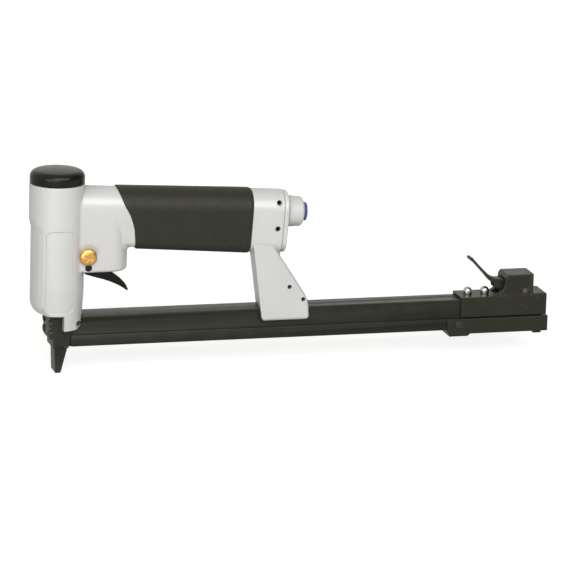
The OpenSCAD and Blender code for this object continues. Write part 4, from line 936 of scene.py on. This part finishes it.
RAIL = [(-10.4, 24.2), (-6.7, 24.2), (-6.7, 40.9), (6.7, 40.9), (6.7, 24.2), (10.4, 24.2), (10.4, 25.7),
    (RAIL_HALF, 25.7), (RAIL_HALF, RAIL_TOP), (-RAIL_HALF, RAIL_TOP), (-RAIL_HALF, 25.7), (-10.4, 25.7)]
rail = extrude(RAIL, NOSE_REAR + FIT, RAIL_END, along_x)
cut(rail, rod(FRONT_SCREW_R, -20, 20, across(FRONT_SCREW_X, FRONT_SCREW_Z), 32),
    block(*LATCH_SLOT, -LATCH_SLOT_HALF, LATCH_SLOT_HALF, 24, 46))
for x in BLOCK_SCREWS:
    cut(rail, rod(BLOCK_SCREW_R, 30, 60, about(x, 0, 0, (0, 0, 1)), 32))
rail = piece("rail", soften(rail, 0.4), "black_steel", "tool_body", "magazine_rail")
# The rail takes the darker painted-shade copy of the black steel
rail.data.materials[0] = shaded_channel

SLIDE_FRONT, SLIDE_HALF, SLIDE_LOW = 9.3, 12, 20.3
SLIDE_SIDE = [(SLIDE_HALF, SLIDE_LOW), (SLIDE_HALF, 28.7), (9.15, 28.7), (9.15, 25.9), (10.55, 25.9),
    (10.55, 24), (9.15, 24), (9.15, 22.5)]
SLIDE = SLIDE_SIDE + [(-a, b) for a, b in reversed(SLIDE_SIDE)]
slide = extrude(SLIDE, SLIDE_FRONT, RAIL_END, along_x)
for side in (-1, 1):
    cut(slide, rod(STUD_HOLE_R, 10.95, 16, about(STUD_X, 0, STUD_Z, (0, side, 0)), 24))
slide = piece("slide", soften(slide, 0.4), "black_steel", "magazine_slide", "magazine_slide")
# The slide takes the darker painted-shade copy of the black steel
slide.data.materials[0] = shaded_channel


# End clip on the slide

CLIP = [(292, 28.7), (292, 19.55), (294, 15.55), (308, 15.55), (310, 17.25), (358.9, 17.25), (358.9, 15.85),
    (364.9, 15.85), (364.9, 17.25), (369.9, 17.25), (369.9, 28.7)]
CLIP_HALF, CLIP_INSET, STUD_HOLE_FROM = 13.15, 0.02, 11


def clip_field(x, y, z):
    ay = np.abs(y)
    shell = join_max(outline(x, z, CLIP) + CLIP_INSET, ay - CLIP_HALF, 0.5)
    room = most(x - (RAIL_END + FIT), ay - (SLIDE_HALF + FIT), (SLIDE_LOW - FIT) - z)
    stud_hole = most(hyp(x - STUD_X, z - STUD_Z) - STUD_HOLE_R, STUD_HOLE_FROM - ay)
    return np.maximum(join_max(shell, -room, 0.2), -stud_hole)


piece("end_clip", field_mesh(clip_field, (291.5, -13.4, 15.2), (370.3, 13.4, 29), 0.45, 0.35),
    "black_steel", "magazine_slide", "slide_end_clip")

STUD_HEAD_HALF, STUD_HEAD_Y, STUD_R, STUD_SPAN = 2.5, (13.15, 13.75), 1.4, (11, 13.4)


def stud(side):
    half = STUD_HEAD_HALF
    head = block(STUD_X - half, STUD_X + half, *STUD_HEAD_Y, STUD_Z - half, STUD_Z + half)
    head = merge(head, rod(STUD_R, *STUD_SPAN, about(STUD_X, 0, STUD_Z, (0, 1, 0)), 24))
    soften(head, 0.22)
    if side < 0:
        head.data.transform(Matrix.Scale(-1, 4, (0, 1, 0)))
        head.data.flip_normals()
    return head


piece("end_clip_studs", gather(stud(-1), stud(1)), "black_steel", "magazine_slide", "clip_studs")


# Rear block with the latch tower

TOWER = curve_through([(329.8, 44.1), (333.4, 46.5), (335.5, 49.8), (336.6, 53.6), (337.3, 57.8)])
TOWER += [(338.9, 59.9), (358.8, 59.9), (358.8, 42.4), (329.8, 42.4)]
BLOCK_HALF, BLOCK_FRONT, BLOCK_END, BLOCK_Z = 11.3, 303, 369.0, (29.2, 44.35)
SHELF_FRONT, SHELF_Z, TOWER_HALF = 357, (31, 45.45), 10.3
TOWER_ROOM_X, TOWER_ROOM_Z, LATCH_HOLE_R = (330, 357.2), (44.35, 56.55), 1.85


def rear_block_field(x, y, z):
    ay = np.abs(y)
    base = join_max(span(x, BLOCK_FRONT, BLOCK_END), ay - BLOCK_HALF, 0.5)
    base = join_max(base, span(z, *BLOCK_Z), 0.5)
    shelf = join_max(span(x, SHELF_FRONT, BLOCK_END), ay - BLOCK_HALF, 0.6)
    shelf = join_max(shelf, span(z, *SHELF_Z), 0.9)
    tower = join_max(outline(x, z, TOWER), ay - TOWER_HALF, 1.0)
    body = join_min(np.minimum(base, shelf), tower, 0.8)
    cuts = [
        most(ay - (RAIL_HALF + FIT), z - (RAIL_TOP + FIT)),
        most(span(x, *TOWER_ROOM_X), ay - LATCH_SLOT_HALF, span(z, *TOWER_ROOM_Z)),
        most(span(x, *LATCH_SLOT), ay - LATCH_SLOT_HALF, z - BLOCK_Z[1]),
        hyp(x - LATCH_X, z - LATCH_Z) - LATCH_HOLE_R,
        least(*[hyp(x - at, y) for at in BLOCK_SCREWS]) - BLOCK_SCREW_R,
    ]
    for hollow in cuts:
        body = join_max(body, -hollow, 0.25)
    return body


piece("rear_saddle", field_mesh(rear_block_field, (302.5, -12, 28.8), (369.6, 12, 60.6), 0.42, 0.4),
    "black_steel", "tool_body", "rear_block")

DOME_SCREW_R, DOME_SCREW_SEAT = 3.35, 44.4


def dome_screw(x):
    place = about(x, 0, DOME_SCREW_SEAT, (0, 0, 1))
    profile = [(0, -3.4), (1.5, -3.4), (1.5, 0.0), (3.1, 0.0), (DOME_SCREW_R, 0.25), (DOME_SCREW_R, 2.1)]
    profile += arc_points(0, 2.1, DOME_SCREW_R, 6, 84, 12) + [(0, 5.45)]
    return lathe(profile, place, 64)


piece("dome_screws", gather(*[dome_screw(x) for x in BLOCK_SCREWS]), "chrome", "tool_body", "block_screws")


# Latch lever

# The lever's outline is drawn as shares of its length and height
LEVER_LONG, LEVER_HIGH, LEVER_HALF = 40.6, 24.6, 4.6


def from_latch(shares):
    return [(LATCH_X + LEVER_LONG * a, LATCH_Z + LEVER_HIGH * b) for a, b in shares]


LEVER_UNDER = from_latch([(-0.3, -0.02), (-0.52, 0.05), (-0.56, 0.19), (-0.63, 0.28), (-0.734, 0.478),
    (-1, 0.955)])
LEVER_OVER = from_latch([(-0.985, 1.02), (-0.83, 0.752), (-0.68, 0.505), (-0.6, 0.405), (-0.5, 0.345),
    (-0.3, 0.32), (-0.08, 0.12)])
LEVER_LINE = from_latch([(0, -0.057), (-0.13, -0.05)]) + curve_through(LEVER_UNDER)
LEVER_LINE += curve_through(LEVER_OVER) + from_latch([(0, 0.057)])
WEB_X, WEB_HALF, WEB_RISE = (326, 348), 3.5, 5.2
TIP_X, TIP_Z, TIP_R, HUB_R = 311.9, 71.4, 1.3, 2.8
HOOK_X, HOOK_LOW, SPRING_ROOM_R, SPRING_ROOM_HALF, LEVER_HOLE_R = (1.2, 4.1), 39.65, 4.2, 2.2, 1.88


def lever_field(x, y, z):
    ay = np.abs(y)
    from_pin = hyp(x - LATCH_X, z - LATCH_Z)
    arm = join_max(outline(x, z, LEVER_LINE), ay - LEVER_HALF, 0.5)
    web = most(span(x, *WEB_X), ay - WEB_HALF, z - LATCH_Z - WEB_RISE)
    hub = join_max(from_pin - HUB_R, ay - LEVER_HALF, 0.3)
    tip = join_max(hyp(x - TIP_X, z - TIP_Z) - TIP_R, ay - LEVER_HALF, 0.4)
    hook = join_max(span(x - LATCH_X, *HOOK_X), span(z, HOOK_LOW, LATCH_Z), 0.25)
    hook = join_max(hook, ay - LEVER_HALF, 0.25)
    body = join_min(least(arm, hub, hook), tip, 0.3)
    body = join_max(body, -web, 0.3)
    spring_room = most(from_pin - SPRING_ROOM_R, ay - SPRING_ROOM_HALF)
    return most(body, -spring_room, LEVER_HOLE_R - from_pin)


piece("thumb_lever", field_mesh(lever_field, (310, -5, 39), (357, 5, 73), 0.36, 0.5), "black_steel", "latch",
    "latch_lever")


# Springs, each with a mesh of its own

def coil(radius, wire, turns, length, place, sides=10, rings=20):
    last = int(turns * rings)
    verts, faces = [], []
    for i in range(last + 1):
        a = 2 * math.pi * i / rings
        rise = wire + (length - 2 * wire) * i / last
        for j in range(sides):
            b = 2 * math.pi * j / sides
            r = radius + wire * math.cos(b)
            verts.append(place(r * math.cos(a), r * math.sin(a), rise + wire * math.sin(b)))
    for i in range(last):
        p, q = i * sides, (i + 1) * sides
        faces += [[p + j, p + (j + 1) % sides, q + (j + 1) % sides, q + j] for j in range(sides)]
    faces += [list(range(sides)), list(range(last * sides + sides - 1, last * sides - 1, -1))]
    return solid(verts, faces)


cap_coil = coil(7, 0.7, 5, 14.6, about(0, 0, 127.85, (0, 0, 1)))
head_coil = piece("cap_spring", cap_coil, "bright_steel", "tool_body", "head_valve_spring", smooth=70)
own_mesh(head_coil)
stem_coil = coil(2.9, 0.4, 4, 6.8, about(VALVE_X, 0, 88.75, (0, 0, 1)))
valve_coil = piece("stem_spring", stem_coil, "bright_steel", "tool_body", "valve_spring", smooth=70)
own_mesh(valve_coil)
feed_coil = coil(2.9, 0.4, 36, 248.2, about(15.25, 0, 30.85, (1, 0, 0)), 8, 16)
push_coil = piece("feed_spring", feed_coil, "bright_steel", "magazine_slide", "pusher_spring", smooth=70)
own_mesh(push_coil)


# Camera, floor and light

right = Vector((math.cos(AZIMUTH), -math.sin(AZIMUTH), 0))
ahead = Vector((math.sin(AZIMUTH), math.cos(AZIMUTH), 0))
up = ahead * math.sin(ELEVATION) + Vector((0, 0, math.cos(ELEVATION)))
back = right.cross(up)
side = right * math.cos(ROLL) + up * math.sin(ROLL)
top = up * math.cos(ROLL) - right * math.sin(ROLL)
camera = bpy.data.objects.new("camera", bpy.data.cameras.new("camera"))
camera.data.lens = FOCAL
camera.data.sensor_width = SENSOR
camera.data.sensor_fit = "HORIZONTAL"
eye = (TARGET + back * DISTANCE) * MM
camera.matrix_world = Matrix(((side.x, top.x, back.x, eye.x), (side.y, top.y, back.y, eye.y),
    (side.z, top.z, back.z, eye.z), (0, 0, 0, 1)))
bpy.context.scene.collection.objects.link(camera)
bpy.context.scene.camera = camera

# The floor glows a little less near the tool than far from it, and less in reflections
FLOOR, FLOOR_Z, FLOOR_GLOW, FLOOR_MIRRORED, GLOW_RANGE = 12.0, -0.0002, 0.74, 0.4, (0.3, 1.0)
corners = [(-FLOOR, -FLOOR), (FLOOR, -FLOOR), (FLOOR, FLOOR), (-FLOOR, FLOOR)]
floor_mesh = bpy.data.meshes.new("floor")
floor_mesh.from_pydata([(x, y, FLOOR_Z) for x, y in corners], [], [(0, 1, 2, 3)])
floor = bpy.data.objects.new("floor", floor_mesh)
bpy.context.scene.collection.objects.link(floor)


def pale_floor():
    mat = bpy.data.materials.new("pale floor")
    mat.use_nodes = True
    mat.node_tree.nodes.clear()
    add = node_maker(mat.node_tree)
    matt = add("ShaderNodeBsdfDiffuse", {"Color": (0.5, 0.5, 0.5, 1)})
    path = add("ShaderNodeLightPath", {})
    mirrored = add("ShaderNodeMath", {0: path.outputs["Is Glossy Ray"], 1: FLOOR_MIRRORED},
        operation="MULTIPLY")
    seen = add("ShaderNodeMath", {0: path.outputs["Is Camera Ray"], 1: mirrored.outputs["Value"]},
        operation="MAXIMUM")
    where = add("ShaderNodeTexCoord", {})
    far = add("ShaderNodeVectorMath", {0: where.outputs["Object"]}, operation="LENGTH")
    level = add("ShaderNodeMapRange", {"Value": far.outputs["Value"], "From Min": GLOW_RANGE[0],
        "From Max": GLOW_RANGE[1], "To Min": FLOOR_GLOW, "To Max": 1.0}, interpolation_type="SMOOTHSTEP")
    power = add("ShaderNodeMath", {0: seen.outputs["Value"], 1: level.outputs["Result"]},
        operation="MULTIPLY")
    glow = add("ShaderNodeEmission", {"Color": (1, 1, 1, 1), "Strength": power.outputs["Value"]})
    both = add("ShaderNodeAddShader", {0: matt.outputs["BSDF"], 1: glow.outputs["Emission"]})
    add("ShaderNodeOutputMaterial", {"Surface": both.outputs["Shader"]})
    return mat


floor_mesh.materials.append(pale_floor())

SKY_LIGHT, SKY_MIRRORED, SKY_SIDE, SIDE_RANGE = 0.32, 0.85, 0.25, (0.2, 0.85)
SKY_COLOUR = (1, 0.975, 0.92, 1)


def studio_world():
    """A dim even sky that is brighter in reflections, and plain white to the camera."""
    world = bpy.data.worlds.new("studio")
    world.use_nodes = True
    tree = world.node_tree
    add = node_maker(tree)
    path = add("ShaderNodeLightPath", {})
    glossy, through = path.outputs["Is Glossy Ray"], path.outputs["Is Transmission Ray"]
    mirrored = add("ShaderNodeMath", {0: glossy, 1: through}, operation="MAXIMUM")
    level = add("ShaderNodeMapRange", {"Value": mirrored.outputs["Value"], "To Min": SKY_LIGHT,
        "To Max": SKY_MIRRORED})
    # The studio is dimmer to the right than elsewhere
    where = add("ShaderNodeTexCoord", {})
    sideways = add("ShaderNodeVectorMath", {0: where.outputs["Generated"], 1: right}, operation="DOT_PRODUCT")
    fade = add("ShaderNodeMapRange", {"Value": sideways.outputs["Value"], "From Min": SIDE_RANGE[0],
        "From Max": SIDE_RANGE[1], "To Min": 1, "To Max": SKY_SIDE}, interpolation_type="SMOOTHSTEP")
    power = add("ShaderNodeMath", {0: level.outputs["Result"], 1: fade.outputs["Result"]},
        operation="MULTIPLY")
    sky = tree.nodes["Background"]
    fill(tree, sky, {"Color": SKY_COLOUR, "Strength": power.outputs["Value"]})
    white = add("ShaderNodeBackground", {"Color": (1, 1, 1, 1)})
    choose = add("ShaderNodeMixShader", {"Fac": path.outputs["Is Camera Ray"], 1: sky.outputs["Background"],
        2: white.outputs["Background"]})
    fill(tree, tree.nodes["World Output"], {"Surface": choose.outputs["Shader"]})
    return world


bpy.context.scene.world = studio_world()


def lamp(name, place, aim, size, power):
    data = bpy.data.lights.new(name, "AREA")
    data.shape = "RECTANGLE"
    data.size, data.size_y = size
    data.energy = power
    obj = bpy.data.objects.new(name, data)
    obj.location = place
    obj.rotation_euler = (Vector(aim) - Vector(place)).to_track_quat("-Z", "Y").to_euler()
    bpy.context.scene.collection.objects.link(obj)
    return obj


CENTRE = (0.15, 0, 0.07)
lamp("overhead", (0.2, -1.5, 1.15), CENTRE, (2.2, 0.9), 24)
lamp("front", (-1.3, -2.15, 0.25), CENTRE, (2.6, 2.0), 42)
# The far side's fill light leaves no highlight
lamp("rear", (0.6, 2.3, 0.5), CENTRE, (2.6, 1.6), 24).visible_glossy = False
bpy.context.scene.view_settings.view_transform = "Standard"
